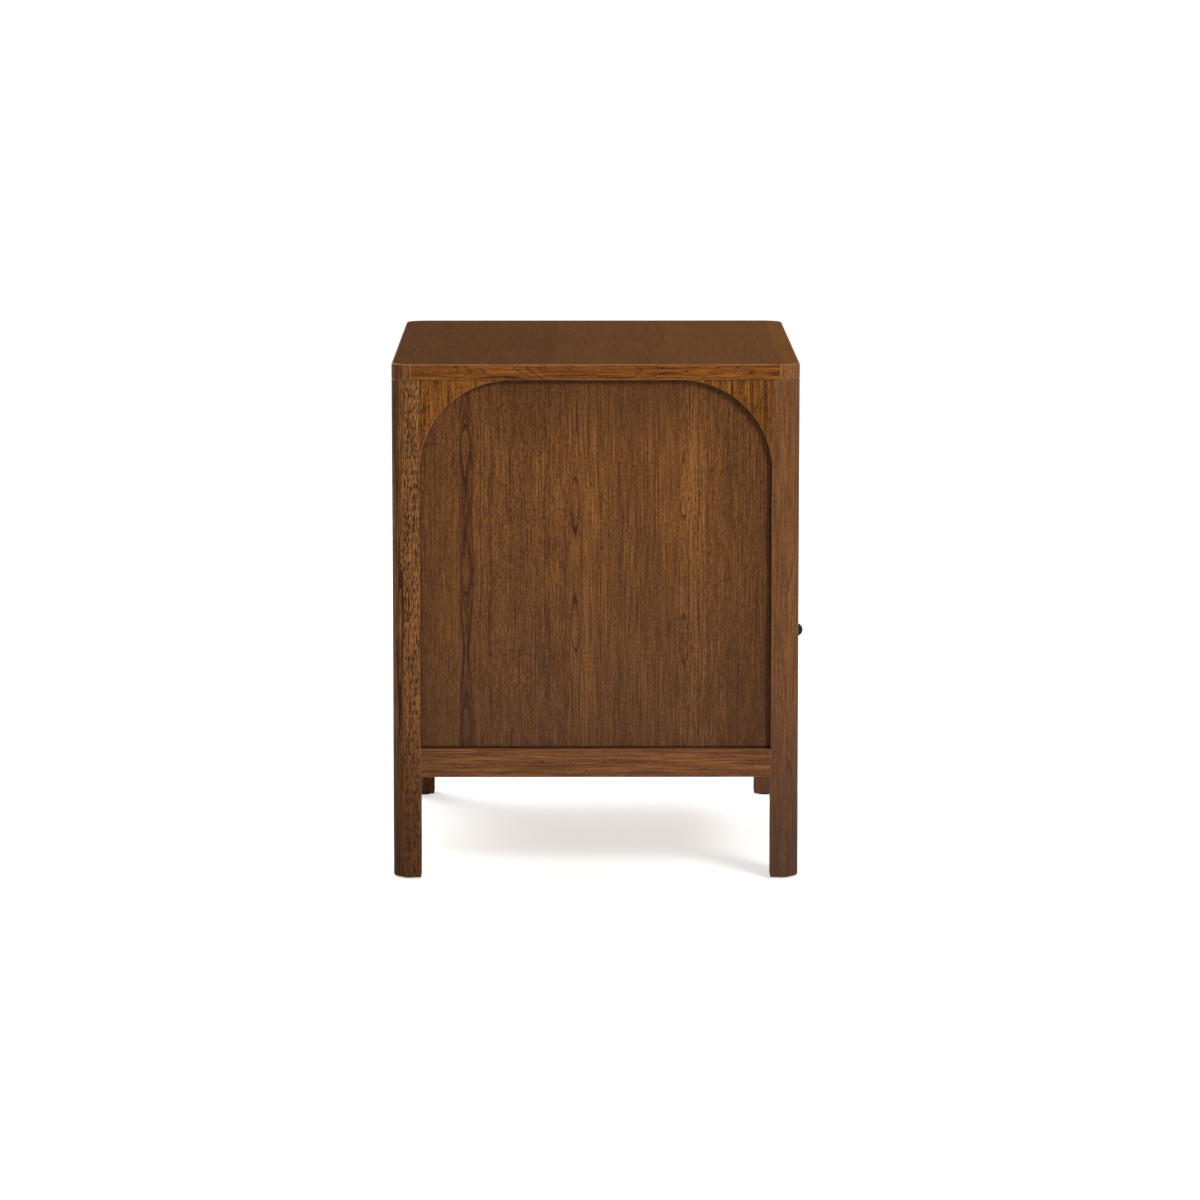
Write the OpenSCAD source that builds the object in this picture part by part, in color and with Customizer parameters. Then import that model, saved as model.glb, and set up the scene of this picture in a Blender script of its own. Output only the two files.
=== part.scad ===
// Nightstand with rounded corners: four square legs carry a thin top, a low rail on each face and
// recessed panels under arched corner blocks. An open niche sits over one drawer on ball slides.
// The origin is on the floor under the middle of the carcase, and the front faces -Y.

/* [Carcase] */
// Width across the front
body_w = 610; // [560:5:720]
// Depth from front to back, without the knob
body_d = 478; // [460:1:600]
// Height from the floor to the top
body_h = 610; // [570:5:720]
// Thickness of the top
top_t = 19; // [16:1:28]
// Rounding along the top's upper and lower edges
edge_r = 2; // [1:0.5:4]
// Side of each square leg
leg_w = 33; // [30:1:40]
// Radius of the outer corners, the same on the legs and the top
corner_r = 24; // [12:1:28]
// How far the panels and the drawer front sit back from the legs' outer faces
recess = 10; // [8:1:12]
// Thickness of the side panels
panel_t = 15; // [12:1:16]
// Thickness of the back panel
back_t = 12; // [9:1:16]
// Depth of the grooves in the legs that hold the panels
groove_d = 6; // [4:0.5:8]
// Room left at the bottom of each groove
groove_gap = 0.5; // [0.2:0.1:1]

/* [Rails and arches] */
// Underside of the lowest rails above the floor
rail_z = 122; // [90:1:140]
// Height of the lowest rails
rail_h = 33; // [30:1:45]
// Thickness of the rails
rail_t = 22; // [20:1:26]
// Depth of the rebate in which a panel stands on its rail
rebate_h = 8; // [5:1:10]
// Radius of the arched corners under the top
arch_r = 107; // [60:1:120]
// Least thickness left at an arched corner's thin ends
arch_tip = 0.4; // [0.3:0.1:1]
// Thickness of the board that closes the bottom
dust_t = 9; // [6:1:10]
// Height of that board above the underside of the rails
dust_up = 8; // [6:1:10]
// Depth of its groove in the rails
dust_groove = 5; // [3:0.5:6]
// Diameter of the floor glides
glide_d = 20; // [16:1:24]
// Thickness of the floor glides
glide_t = 2; // [1.5:0.5:4]

/* [Niche] */
// Height of the drawer's opening
open_h = 198; // [190:1:210]
// Height of the divider rail between the drawer and the niche
divider_h = 24; // [22:1:30]
// Thickness of the niche's floor
shelf_t = 18; // [15:1:20]
// Reach of the tongues along its sides into the side panels
tongue_d = 4; // [2:0.5:6]
// Thickness of those tongues
tongue_t = 12; // [8:1:14]
// Side of the square cleats that hold the top
cleat_w = 18; // [16:1:22]
// Distance of the cleats' ends from the legs
cleat_end = 6; // [2:1:20]

/* [Drawer] */
// Gap around the drawer front
front_gap = 2.5; // [1.5:0.5:4]
// Thickness of the drawer front
front_t = 19; // [16:1:22]
// Room between the drawer box and the back panel
box_room = 21; // [15:1:60]
// Height of the drawer box
box_h = 150; // [120:5:160]
// Thickness of the drawer box's sides and ends
box_t = 12; // [10:1:14]
// Underside of the drawer box above the lowest rails
box_up = 10; // [6:1:14]
// Thickness of the drawer's bottom
bottom_t = 6; // [4:0.5:8]
// Height of the drawer's bottom above the box's lower edge
bottom_up = 10; // [8:1:14]
// Depth of its grooves in the box
bottom_groove = 5; // [3:0.5:6]
// Number of dovetails at each corner of the box
tail_count = 4; // [3:1:5]
// Width of each dovetail at its wide end
tail_w = 25; // [18:1:26]
// How much narrower each edge of a dovetail is at its root
tail_taper = 2; // [1:0.5:3]

/* [Slides] */
// Thickness of a slide between the carcase and the box
slide_t = 12.7; // [12.5:0.1:13.5]
// Height of the outer member
slide_h = 45; // [45:1:50]
// Height of the slides' middle above the box's lower edge
slide_up = 50; // [40:1:70]
// Distance of the slides' ends inside the box's ends
slide_back = 3; // [1:1:10]
// How much shorter the drawer's travel is than the slides
slide_hold = 20; // [10:1:120]
// Reach of the outer member's lips from the carcase
outer_lip = 10; // [9:0.1:10.5]
// Gap between neighbouring members and cages across the slide
slide_gap = 0.4; // [0.3:0.1:0.6]
// Thickness of the slides' steel
steel_t = 1.2; // [1:0.1:1.4]
// Diameter of the balls
ball_d = 3.2; // [2.8:0.1:3.4]
// Running gap on each side of a ball
ball_gap = 0.05; // [0.03:0.01:0.1]
// Number of balls in each row
ball_count = 8; // [4:1:10]
// Thickness of the ball cages
cage_t = 0.6; // [0.4:0.1:0.8]
// How much shorter each cage is than its longest possible length
cage_short = 5; // [2:1:20]
// Height of the wooden spacers behind the slides
spacer_h = 60; // [56:1:80]

/* [Knob] */
// Diameter of the knob's ball
knob_d = 16.5; // [14:0.5:24]
// How far the knob stands out from the drawer front
knob_l = 27; // [22:0.5:32]
// Diameter of the knob's foot
knob_foot_d = 12; // [10:0.5:16]
// Thickness of the knob's foot
knob_foot_t = 3; // [2:0.5:4]
// Diameter of the knob's neck
knob_neck_d = 7.5; // [7:0.5:9]

/* [Fasteners] */
// Diameter of the rails' dowels
dowel_d = 6; // [5:1:7]
// Distance of the dowels' middles from the outer faces
dowel_w = 10; // [8:1:11]
// Height of a low rail's lower dowel above the rail's underside
dowel_low = 7; // [6:0.5:8]
// Wood between a low rail's upper dowel and its rebate
dowel_skin = 2; // [1:0.5:4]
// Distance between the divider's two dowels
dowel_apart = 11; // [9:1:13]
// Length of a dowel inside each piece that it joins
dowel_in = 14; // [10:1:15]
// Diameter of the dowels between the legs and the top
top_dowel_d = 10; // [8:1:12]
// Distance of those dowels and of the glides from the legs' outer faces
top_dowel_at = 19; // [17:1:20]
// Depth of those dowels in the top
top_dowel_up = 12; // [8:1:12]
// Depth of those dowels in the legs
top_dowel_down = 20; // [15:1:25]
// Room round a dowel or screw in its hole
hole_gap = 0.1; // [0.05:0.05:0.2]
// Room past the end of a dowel or screw in its hole
hole_end = 0.5; // [0.2:0.1:1]
// Diameter of the glides' nails
nail_d = 2; // [1.5:0.1:2.5]
// Length of the glides' nails
nail_l = 14; // [10:1:18]
// Diameter of the wood screws
screw_d = 4; // [3:0.5:4.5]
// Length of the wood screws in the second piece
screw_bite = 10; // [6:1:12]
// Distance of the front's screws from the box's outer sides
front_screw_in = 80; // [40:5:120]
// Distance of the front's screws from the box's upper and lower edges
front_screw_up = 35; // [20:1:50]
// Distance of the outer cleat screws from the cleats' ends
cleat_screw_in = 60; // [30:5:90]
// Diameter of the slides' screws
slide_screw_d = 3.5; // [3:0.5:4]
// Thickness of the slides' screw heads
slide_head_t = 1; // [0.8:0.1:1.1]
// Distance of the slides' end screws from the slides' ends
slide_screw_in = 35; // [20:1:60]
// Length of the slides' screws in the side panels
slide_screw_bite = 8; // [6:1:10]
// Wood left past the slides' screws in the box sides
box_skin = 3; // [2:0.5:4]
// Diameter of the knob's screw
knob_screw_d = 4; // [3:0.5:5]
// Depth of the knob's screw in the knob
knob_screw_in = 10; // [8:1:14]
// Height of the wood screws' heads
head_t = 2.4; // [2:0.1:3]

/* [Hidden] */
$fn = 64;

// Colours
wood = [0.44, 0.28, 0.17];
wood_dark = [0.38, 0.23, 0.13];
wood_light = [0.50, 0.33, 0.21];
maple = [0.80, 0.66, 0.48];
ply = [0.74, 0.60, 0.43];
beech = [0.78, 0.62, 0.45];
zinc = [0.70, 0.71, 0.72];
brass = [0.70, 0.58, 0.30];
bronze = [0.10, 0.09, 0.09];
felt = [0.16, 0.15, 0.14];

// Carcase
span_x = body_w - 2 * leg_w;
span_y = body_d - 2 * leg_w;
joint_z = body_h - top_t;
rail_top = rail_z + rail_h;
panel_z = rail_top - rebate_h;
divider_z = rail_top + open_h;
niche_z = divider_z + divider_h;
panel_in_x = body_w / 2 - recess - panel_t;
back_in_y = body_d / 2 - recess - back_t;
arch_reach = arch_r - sqrt(pow(arch_r, 2) - pow(arch_r - arch_tip, 2));
dust_z = rail_z + dust_up;
cleat_l = span_y - 2 * cleat_end;
eps = 1;

// Dowels, as heights above a rail's underside
rail_dowel_z = [dowel_low, rail_h - rebate_h - dowel_skin - dowel_d / 2];
divider_dowel_z = [(divider_h - dowel_apart) / 2, (divider_h + dowel_apart) / 2];
dowel_hole = dowel_in + hole_end;

// Drawer
front_y = -body_d / 2 + recess;
box_y = front_y + front_t;
box_l = back_in_y - box_y - box_room;
box_w = span_x - 2 * slide_t;
box_in_w = box_w - 2 * box_t;
box_z = rail_top + box_up;
slide_z = box_z + slide_up;
slide_y = box_y + slide_back;
slide_l = box_l - 2 * slide_back;
travel = slide_l - slide_hold;
knob_z = rail_top + open_h / 2;
spacer_t = leg_w - recess - panel_t;

// Slides, as heights of the members and places across the slide's thickness
ball_room = ball_d + 2 * ball_gap;
middle_h = slide_h - 2 * steel_t - 2 * ball_room;
inner_h = middle_h - 2 * steel_t - 2 * ball_room;
outer_ball_z = slide_h / 2 - steel_t - ball_room / 2;
inner_ball_z = middle_h / 2 - steel_t - ball_room / 2;
outer_cage_at = steel_t + slide_head_t + slide_gap;
middle_at = outer_cage_at + cage_t + slide_gap;
middle_lip = slide_t - steel_t - slide_gap;
inner_cage_at = middle_at + steel_t + slide_gap;
inner_lip = inner_cage_at + cage_t + slide_gap;
outer_ball_at = (middle_at + outer_lip) / 2;
inner_ball_at = (inner_lip + middle_lip) / 2;
cage_l = slide_l - travel / 2 - cage_short;
ball_pitch = cage_l / ball_count;
slide_screw_y = [slide_screw_in, slide_l / 2, slide_l - slide_screw_in];
slide_head_d = 2 * slide_screw_d;
outer_screw_l = steel_t + spacer_t + slide_screw_bite;
inner_screw_l = steel_t + box_t - box_skin;

// Screws
front_screw_x = box_w / 2 - front_screw_in;
front_screw_z = [front_screw_up, box_h - front_screw_up];
cleat_screw_y = cleat_l / 2 - cleat_screw_in;
head_d = 2 * screw_d;
knob_head_d = 2.2 * knob_screw_d;
knob_screw_l = box_t + front_t + knob_screw_in;

// Each face's own frame: X along the face, Y inward from the legs' outer face
module at_front() {
    translate([0, -body_d / 2, 0]) children();
}

module at_back() {
    translate([0, body_d / 2, 0]) rotate([0, 0, 180]) children();
}

module at_left() {
    translate([-body_w / 2, 0, 0]) rotate([0, 0, -90]) children();
}

module at_right() {
    translate([body_w / 2, 0, 0]) rotate([0, 0, 90]) children();
}

// A piece and its mirror image across the middle plane between left and right
module both_sides() {
    children();
    mirror([1, 0, 0]) children();
}

// A board seen from the side: a flat shape in Y and Z, thick along X
module upright(t) {
    rotate([90, 0, 90]) linear_extrude(t) children();
}

// A square bar with rounded long edges, lying along X, for the straight edges of the top
module edge_bar(l, w, t, r) {
    rotate([90, 0, 90]) linear_extrude(l) edge_profile(w, t, r);
}

// Half section of a board whose outer edge, at the far end of X, is rounded above and below
module edge_profile(w, t, r) {
    square([w - r, t]);
    translate([0, r]) square([w, t - 2 * r]);
    for (z = [r, t - r]) {
        translate([w - r, z]) circle(r);
    }
}

// A board with round corners and softened edges, made of a core, four edges and four corners
module soft_board(w, d, t, corner, edge) {
    core_w = w - 2 * corner;
    core_d = d - 2 * corner;
    translate([-core_w / 2, -core_d / 2, 0]) cube([core_w, core_d, t]);
    for (a = [0, 180]) {
        rotate([0, 0, a]) translate([-core_w / 2, core_d / 2, 0]) edge_bar(core_w, corner, t, edge);
        rotate([0, 0, a + 90]) translate([-core_d / 2, core_w / 2, 0]) edge_bar(core_d, corner, t, edge);
    }
    for (i = [0, 1], j = [0, 1]) {
        mirror([i, 0, 0]) mirror([0, j, 0]) translate([core_w / 2, core_d / 2, 0])
            rotate_extrude(angle = 90) edge_profile(corner, t, edge);
    }
}

// A screw or pin with its head above Z = 0 and its shank below
module screw(d, l, head, head_h) {
    translate([0, 0, -l]) cylinder(d = d, h = l + head_h / 2);
    difference() {
        cylinder(d = head, h = head_h);
        translate([-head / 3, -d / 10, head_h / 2]) cube([2 * head / 3, d / 5, head_h]);
        translate([-d / 10, -head / 3, head_h / 2]) cube([d / 5, 2 * head / 3, head_h]);
    }
}

// The hole for that screw's shank, running past the first piece's face
module screw_hole(d, l) {
    translate([0, 0, -l - hole_end]) cylinder(d = d + 2 * hole_gap, h = l + hole_end + eps);
}

// Plan of the front left leg, with its outer corner at the origin and rounded
module leg_plan() {
    intersection() {
        square(leg_w);
        translate([corner_r, corner_r]) circle(corner_r);
    }
    translate([corner_r, 0]) square([leg_w - corner_r, leg_w]);
    translate([0, corner_r]) square([leg_w, leg_w - corner_r]);
}

// Dowels in the end of a rail that reaches the leg's inner face, pointing along X from X = 0
module dowel_pair(heights, grow, l) {
    for (z = heights) {
        translate([0, dowel_w, z]) rotate([0, 90, 0])
            translate([0, 0, -l]) cylinder(d = dowel_d + 2 * grow, h = 2 * l);
    }
}

// Dowels at both ends of a rail, in its face's frame
module end_dowels(span, z0, heights, grow, l) {
    for (x = [-span / 2, span / 2]) {
        translate([x, 0, z0]) dowel_pair(heights, grow, l);
    }
}

// A leg with the grooves and holes that its neighbours need, its outer corner at the origin
module leg(is_front) {
    difference() {
        translate([0, 0, glide_t]) linear_extrude(joint_z - glide_t) leg_plan();
        translate([recess, leg_w - groove_d - groove_gap, panel_z])
            cube([panel_t, groove_d + groove_gap + eps, body_h]);
        translate([0, leg_w, rail_z]) mirror([1, -1, 0]) dowel_pair(rail_dowel_z, hole_gap, dowel_hole);
        translate([leg_w, 0, rail_z]) dowel_pair(rail_dowel_z, hole_gap, dowel_hole);
        if (is_front) {
            translate([leg_w, 0, divider_z]) dowel_pair(divider_dowel_z, hole_gap, dowel_hole);
        }
        if (!is_front) {
            translate([leg_w - groove_d - groove_gap, recess, panel_z])
                cube([groove_d + groove_gap + eps, back_t, body_h]);
        }
        translate([top_dowel_at, top_dowel_at, joint_z]) screw_hole(top_dowel_d, top_dowel_down);
        translate([top_dowel_at, top_dowel_at, glide_t]) rotate([180, 0, 0]) screw_hole(nail_d, nail_l);
    }
}

module place_leg(i, j) {
    mirror([i, 0, 0]) mirror([0, j, 0]) translate([-body_w / 2, -body_d / 2, 0]) children();
}

module leg_front_left() {
    color(wood) place_leg(0, 0) leg(true);
}

module leg_front_right() {
    color(wood) place_leg(1, 0) leg(true);
}

module leg_back_left() {
    color(wood) place_leg(0, 1) leg(false);
}

module leg_back_right() {
    color(wood) place_leg(1, 1) leg(false);
}

// Nail-on glides under the four legs
module floor_glides() {
    color(felt) for (i = [0, 1], j = [0, 1]) {
        place_leg(i, j) translate([top_dowel_at, top_dowel_at, 0]) {
            cylinder(d = glide_d, h = glide_t);
            cylinder(d = nail_d, h = glide_t + nail_l);
        }
    }
}

// Places of the two screws that hold the top to each cleat
module at_top_screws() {
    for (y = [-cleat_screw_y, cleat_screw_y]) {
        translate([panel_in_x - cleat_w / 2, y, joint_z - cleat_w]) rotate([180, 0, 0]) children();
    }
}

// Places of the two screws that hold each cleat to its side panel
module at_cleat_screws() {
    for (y = [-cleat_screw_y / 3, cleat_screw_y / 3]) {
        translate([panel_in_x - cleat_w, y, joint_z - cleat_w / 2]) rotate([0, -90, 0]) children();
    }
}

module top() {
    color(wood) difference() {
        translate([0, 0, joint_z]) soft_board(body_w, body_d, top_t, corner_r, edge_r);
        for (i = [0, 1], j = [0, 1]) {
            place_leg(i, j) translate([top_dowel_at, top_dowel_at, joint_z])
                rotate([180, 0, 0]) screw_hole(top_dowel_d, top_dowel_up);
        }
        both_sides() at_top_screws() screw_hole(screw_d, cleat_w + screw_bite);
    }
}

// Side panels stand in the legs' grooves and the side rails' rebates
module side_panel() {
    difference() {
        translate([-span_y / 2 - groove_d, recess, panel_z])
            cube([span_y + 2 * groove_d, panel_t, joint_z - panel_z]);
        translate([-span_y / 2 - groove_d - eps, recess + panel_t - tongue_d, niche_z - shelf_t])
            cube([span_y + 2 * groove_d + 2 * eps, tongue_d + eps, tongue_t]);
    }
}

module panel_screw_holes() {
    both_sides() {
        at_cleat_screws() screw_hole(screw_d, cleat_w + screw_bite);
        at_slide_screws() screw_hole(slide_screw_d, outer_screw_l);
    }
}

module side_panel_left() {
    color(wood_light) difference() {
        at_left() side_panel();
        panel_screw_holes();
    }
}

module side_panel_right() {
    color(wood_light) difference() {
        at_right() side_panel();
        panel_screw_holes();
    }
}

module back_panel() {
    color(wood_light) at_back() translate([-span_x / 2 - groove_d, recess, panel_z])
        cube([span_x + 2 * groove_d, back_t, joint_z - panel_z]);
}

// A low rail between two legs, with a rebate for a panel where it carries one
module low_rail(span, has_panel) {
    difference() {
        translate([-span / 2, 0, rail_z]) cube([span, rail_t, rail_h]);
        translate([-span / 2 - eps, rail_t - dust_groove, dust_z])
            cube([span + 2 * eps, dust_groove + eps, dust_t]);
        end_dowels(span, rail_z, rail_dowel_z, hole_gap, dowel_hole);
        if (has_panel) {
            translate([-span / 2 - eps, recess, panel_z]) cube([span + 2 * eps, rail_t, rebate_h + eps]);
        }
    }
}

module rail_left() {
    color(wood_light) at_left() low_rail(span_y, true);
}

module rail_right() {
    color(wood_light) at_right() low_rail(span_y, true);
}

module rail_front() {
    color(wood_light) at_front() low_rail(span_x, false);
}

module rail_back() {
    color(wood_light) at_back() low_rail(span_x, true);
}

module divider_rail() {
    color(wood_light) at_front() difference() {
        translate([-span_x / 2, 0, divider_z]) cube([span_x, rail_t, divider_h]);
        end_dowels(span_x, divider_z, divider_dowel_z, hole_gap, dowel_hole);
    }
}

// An arched corner block between a leg and the top, at the left end of a face of this span
module arch_corner(span, t) {
    translate([-span / 2, 0, joint_z]) rotate([-90, 0, 0]) linear_extrude(t) difference() {
        square(arch_reach);
        translate([arch_r, arch_r]) circle(arch_r, $fn = 128);
    }
}

module arch_left_front() {
    color(wood_dark) at_left() mirror([1, 0, 0]) arch_corner(span_y, recess);
}

module arch_left_back() {
    color(wood_dark) at_left() arch_corner(span_y, recess);
}

module arch_right_front() {
    color(wood_dark) at_right() arch_corner(span_y, recess);
}

module arch_right_back() {
    color(wood_dark) at_right() mirror([1, 0, 0]) arch_corner(span_y, recess);
}

module arch_niche_left() {
    color(wood_dark) at_front() arch_corner(span_x, rail_t);
}

module arch_niche_right() {
    color(wood_dark) at_front() mirror([1, 0, 0]) arch_corner(span_x, rail_t);
}

module arch_back_left() {
    color(wood_dark) at_back() mirror([1, 0, 0]) arch_corner(span_x, recess);
}

module arch_back_right() {
    color(wood_dark) at_back() arch_corner(span_x, recess);
}

// The niche's floor fills the plan between the legs, with tongues in the side panels' grooves
module niche_floor() {
    front_in = -body_d / 2 + rail_t;
    tongue_x = panel_in_x + tongue_d;
    color(wood) translate([0, 0, niche_z - shelf_t]) {
        translate([-span_x / 2, front_in, 0]) cube([span_x, back_in_y - front_in, shelf_t]);
        translate([-panel_in_x, -span_y / 2, 0]) cube([2 * panel_in_x, span_y, shelf_t]);
        translate([-tongue_x, -span_y / 2, 0]) cube([2 * tongue_x, span_y, tongue_t]);
    }
}

module bottom_board() {
    out_x = body_w / 2 - rail_t + dust_groove;
    out_y = body_d / 2 - rail_t + dust_groove;
    color(ply) translate([0, 0, dust_z]) {
        translate([-span_x / 2, -out_y, 0]) cube([span_x, 2 * out_y, dust_t]);
        translate([-out_x, -span_y / 2, 0]) cube([2 * out_x, span_y, dust_t]);
    }
}

// A cleat under the top along the right side panel
module top_cleat() {
    difference() {
        translate([panel_in_x - cleat_w, -cleat_l / 2, joint_z - cleat_w]) cube([cleat_w, cleat_l, cleat_w]);
        at_top_screws() screw_hole(screw_d, cleat_w + screw_bite);
        at_cleat_screws() screw_hole(screw_d, cleat_w + screw_bite);
    }
}

module top_cleat_left() {
    color(beech) mirror([1, 0, 0]) top_cleat();
}

module top_cleat_right() {
    color(beech) top_cleat();
}

// A spacer that brings the right slide out flush with the legs' inner faces
module slide_spacer() {
    difference() {
        translate([span_x / 2, -span_y / 2, slide_z - spacer_h / 2]) cube([spacer_t, span_y, spacer_h]);
        at_slide_screws() screw_hole(slide_screw_d, outer_screw_l);
    }
}

module slide_spacer_left() {
    color(beech) mirror([1, 0, 0]) slide_spacer();
}

module slide_spacer_right() {
    color(beech) slide_spacer();
}

module rail_dowels() {
    color(beech) {
        at_left() end_dowels(span_y, rail_z, rail_dowel_z, 0, dowel_in);
        at_right() end_dowels(span_y, rail_z, rail_dowel_z, 0, dowel_in);
        at_front() end_dowels(span_x, rail_z, rail_dowel_z, 0, dowel_in);
        at_back() end_dowels(span_x, rail_z, rail_dowel_z, 0, dowel_in);
        at_front() end_dowels(span_x, divider_z, divider_dowel_z, 0, dowel_in);
    }
}

module top_dowels() {
    color(beech) for (i = [0, 1], j = [0, 1]) {
        place_leg(i, j) translate([top_dowel_at, top_dowel_at, joint_z - top_dowel_down])
            cylinder(d = top_dowel_d, h = top_dowel_down + top_dowel_up);
    }
}

module top_screws() {
    color(brass) both_sides() at_top_screws() screw(screw_d, cleat_w + screw_bite, head_d, head_t);
}

module cleat_screws() {
    color(brass) both_sides() at_cleat_screws() screw(screw_d, cleat_w + screw_bite, head_d, head_t);
}

// The right slide's own frame: X from the carcase towards the box, Y from front to back
module at_slide() {
    translate([span_x / 2, slide_y, slide_z]) mirror([1, 0, 0]) children();
}

// A steel channel from its web to its lips, in X and Z, as long as the slide
module channel(web_x, lip_x, h) {
    translate([0, slide_l, 0]) rotate([90, 0, 0]) linear_extrude(slide_l)
        channel_section(web_x, lip_x, h, steel_t);
}

module channel_section(web_x, lip_x, h, t) {
    low_x = min(web_x, lip_x);
    wide = abs(lip_x - web_x);
    web_low = web_x < lip_x ? web_x : web_x - t;
    translate([web_low, -h / 2]) square([t, h]);
    for (z = [-h / 2, h / 2 - t]) {
        translate([low_x, z]) square([wide, t]);
    }
}

// Places of the outer member's screws, which pass the spacer and bite in the side panel
module at_slide_screws() {
    at_slide() for (y = slide_screw_y) {
        translate([steel_t, y, 0]) rotate([0, 90, 0]) children();
    }
}

// Places of the inner member's screws, which bite in the box side
module at_box_screws() {
    at_slide() for (y = slide_screw_y) {
        translate([slide_t - steel_t, y, 0]) rotate([0, -90, 0]) children();
    }
}

module slide_outer() {
    difference() {
        at_slide() channel(0, outer_lip, slide_h);
        at_slide_screws() screw_hole(slide_screw_d, outer_screw_l);
    }
}

module slide_middle() {
    at_slide() channel(middle_at, middle_lip, middle_h);
}

module slide_inner() {
    difference() {
        at_slide() channel(slide_t, inner_lip, inner_h);
        at_box_screws() screw_hole(slide_screw_d, inner_screw_l);
    }
}

// A thin cage that keeps two rows of balls apart, with the balls loose in its holes
module ball_cage(web_x, lip_x, ball_x, ball_z) {
    at_slide() translate([0, (slide_l - cage_l) / 2, 0]) {
        difference() {
            translate([0, cage_l, 0]) rotate([90, 0, 0]) linear_extrude(cage_l)
                channel_section(web_x, lip_x, 2 * ball_z + cage_t, cage_t);
            for (i = [0 : ball_count - 1]) {
                translate([ball_x, (i + 0.5) * ball_pitch, -ball_z - cage_t])
                    cylinder(d = ball_d + 2 * hole_gap, h = 2 * ball_z + 2 * cage_t);
            }
        }
        for (i = [0 : ball_count - 1], z = [-ball_z, ball_z]) {
            translate([ball_x, (i + 0.5) * ball_pitch, z]) sphere(d = ball_d);
        }
    }
}

module ball_cage_outer() {
    ball_cage(outer_cage_at, outer_lip - slide_gap, outer_ball_at, outer_ball_z);
}

module ball_cage_inner() {
    ball_cage(inner_cage_at, middle_lip - slide_gap, inner_ball_at, inner_ball_z);
}

module slide_outer_left() {
    color(zinc) mirror([1, 0, 0]) slide_outer();
}

module slide_outer_right() {
    color(zinc) slide_outer();
}

module slide_outer_screws() {
    color(zinc) both_sides() at_slide_screws()
        screw(slide_screw_d, outer_screw_l, slide_head_d, slide_head_t);
}

module slide_middle_left() {
    color(zinc) mirror([1, 0, 0]) slide_middle();
}

module slide_middle_right() {
    color(zinc) slide_middle();
}

module ball_cage_outer_left() {
    color(brass) mirror([1, 0, 0]) ball_cage_outer();
}

module ball_cage_outer_right() {
    color(brass) ball_cage_outer();
}

module ball_cage_inner_left() {
    color(brass) mirror([1, 0, 0]) ball_cage_inner();
}

module ball_cage_inner_right() {
    color(brass) ball_cage_inner();
}

module slide_inner_left() {
    color(zinc) mirror([1, 0, 0]) slide_inner();
}

module slide_inner_right() {
    color(zinc) slide_inner();
}

module slide_inner_screws() {
    color(zinc) both_sides() at_box_screws()
        screw(slide_screw_d, inner_screw_l, slide_head_d, slide_head_t);
}

// The box's own frame: X from the middle, Y back from the box's front, Z up from its lower edge
module at_box() {
    translate([0, box_y, box_z]) children();
}

// Dovetails in Y and Z, wide at the box's end and narrow at their roots
module tails() {
    pitch = box_h / tail_count;
    for (i = [0 : tail_count - 1]) {
        mid = (i + 0.5) * pitch;
        polygon([
            [0, mid - tail_w / 2],
            [box_t, mid - tail_w / 2 + tail_taper],
            [box_t, mid + tail_w / 2 - tail_taper],
            [0, mid + tail_w / 2]
        ]);
    }
}

// A side of the box with dovetails at both ends, on the right
module box_side() {
    difference() {
        at_box() translate([box_w / 2 - box_t, 0, 0]) upright(box_t) {
            translate([box_t, 0]) square([box_l - 2 * box_t, box_h]);
            tails();
            translate([box_l, 0]) mirror([1, 0]) tails();
        }
        at_box() translate([box_w / 2 - box_t - eps, box_t, bottom_up])
            cube([bottom_groove + eps, box_l - 2 * box_t, bottom_t]);
        at_box_screws() screw_hole(slide_screw_d, inner_screw_l);
    }
}

module box_side_left() {
    color(maple) mirror([1, 0, 0]) box_side();
}

module box_side_right() {
    color(maple) box_side();
}

// The box's front or back, with pins that fill the room between the sides' dovetails
module box_end() {
    difference() {
        translate([-box_w / 2, 0, 0]) cube([box_w, box_t, box_h]);
        both_sides() translate([box_w / 2 - box_t, 0, 0]) upright(box_t + eps) tails();
        translate([-box_in_w / 2, box_t - bottom_groove, bottom_up])
            cube([box_in_w, bottom_groove + eps, bottom_t]);
    }
}

// Places of the screws that hold the drawer front, driven from inside the box
module at_front_screws() {
    at_box() for (x = [-front_screw_x, front_screw_x], z = front_screw_z) {
        translate([x, box_t, z]) rotate([-90, 0, 0]) children();
    }
}

module at_knob_screw() {
    translate([0, box_y + box_t, knob_z]) rotate([-90, 0, 0]) children();
}

module box_front() {
    color(maple) difference() {
        at_box() box_end();
        at_front_screws() screw_hole(screw_d, box_t + screw_bite);
        at_knob_screw() screw_hole(knob_screw_d, knob_screw_l);
    }
}

module box_back() {
    color(maple) at_box() translate([0, box_l, 0]) rotate([0, 0, 180]) box_end();
}

module drawer_bottom() {
    in_l = box_l - 2 * box_t;
    reach_w = box_in_w + 2 * bottom_groove;
    reach_l = in_l + 2 * bottom_groove;
    color(ply) at_box() translate([0, box_l / 2, bottom_up]) {
        translate([-reach_w / 2, -in_l / 2, 0]) cube([reach_w, in_l, bottom_t]);
        translate([-box_in_w / 2, -reach_l / 2, 0]) cube([box_in_w, reach_l, bottom_t]);
    }
}

module drawer_front() {
    front_w = span_x - 2 * front_gap;
    front_h = open_h - 2 * front_gap;
    color(wood_light) difference() {
        translate([-front_w / 2, front_y, rail_top + front_gap]) cube([front_w, front_t, front_h]);
        at_front_screws() screw_hole(screw_d, box_t + screw_bite);
        at_knob_screw() screw_hole(knob_screw_d, knob_screw_l);
    }
}

module front_screws() {
    color(brass) at_front_screws() screw(screw_d, box_t + screw_bite, head_d, head_t);
}

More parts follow.
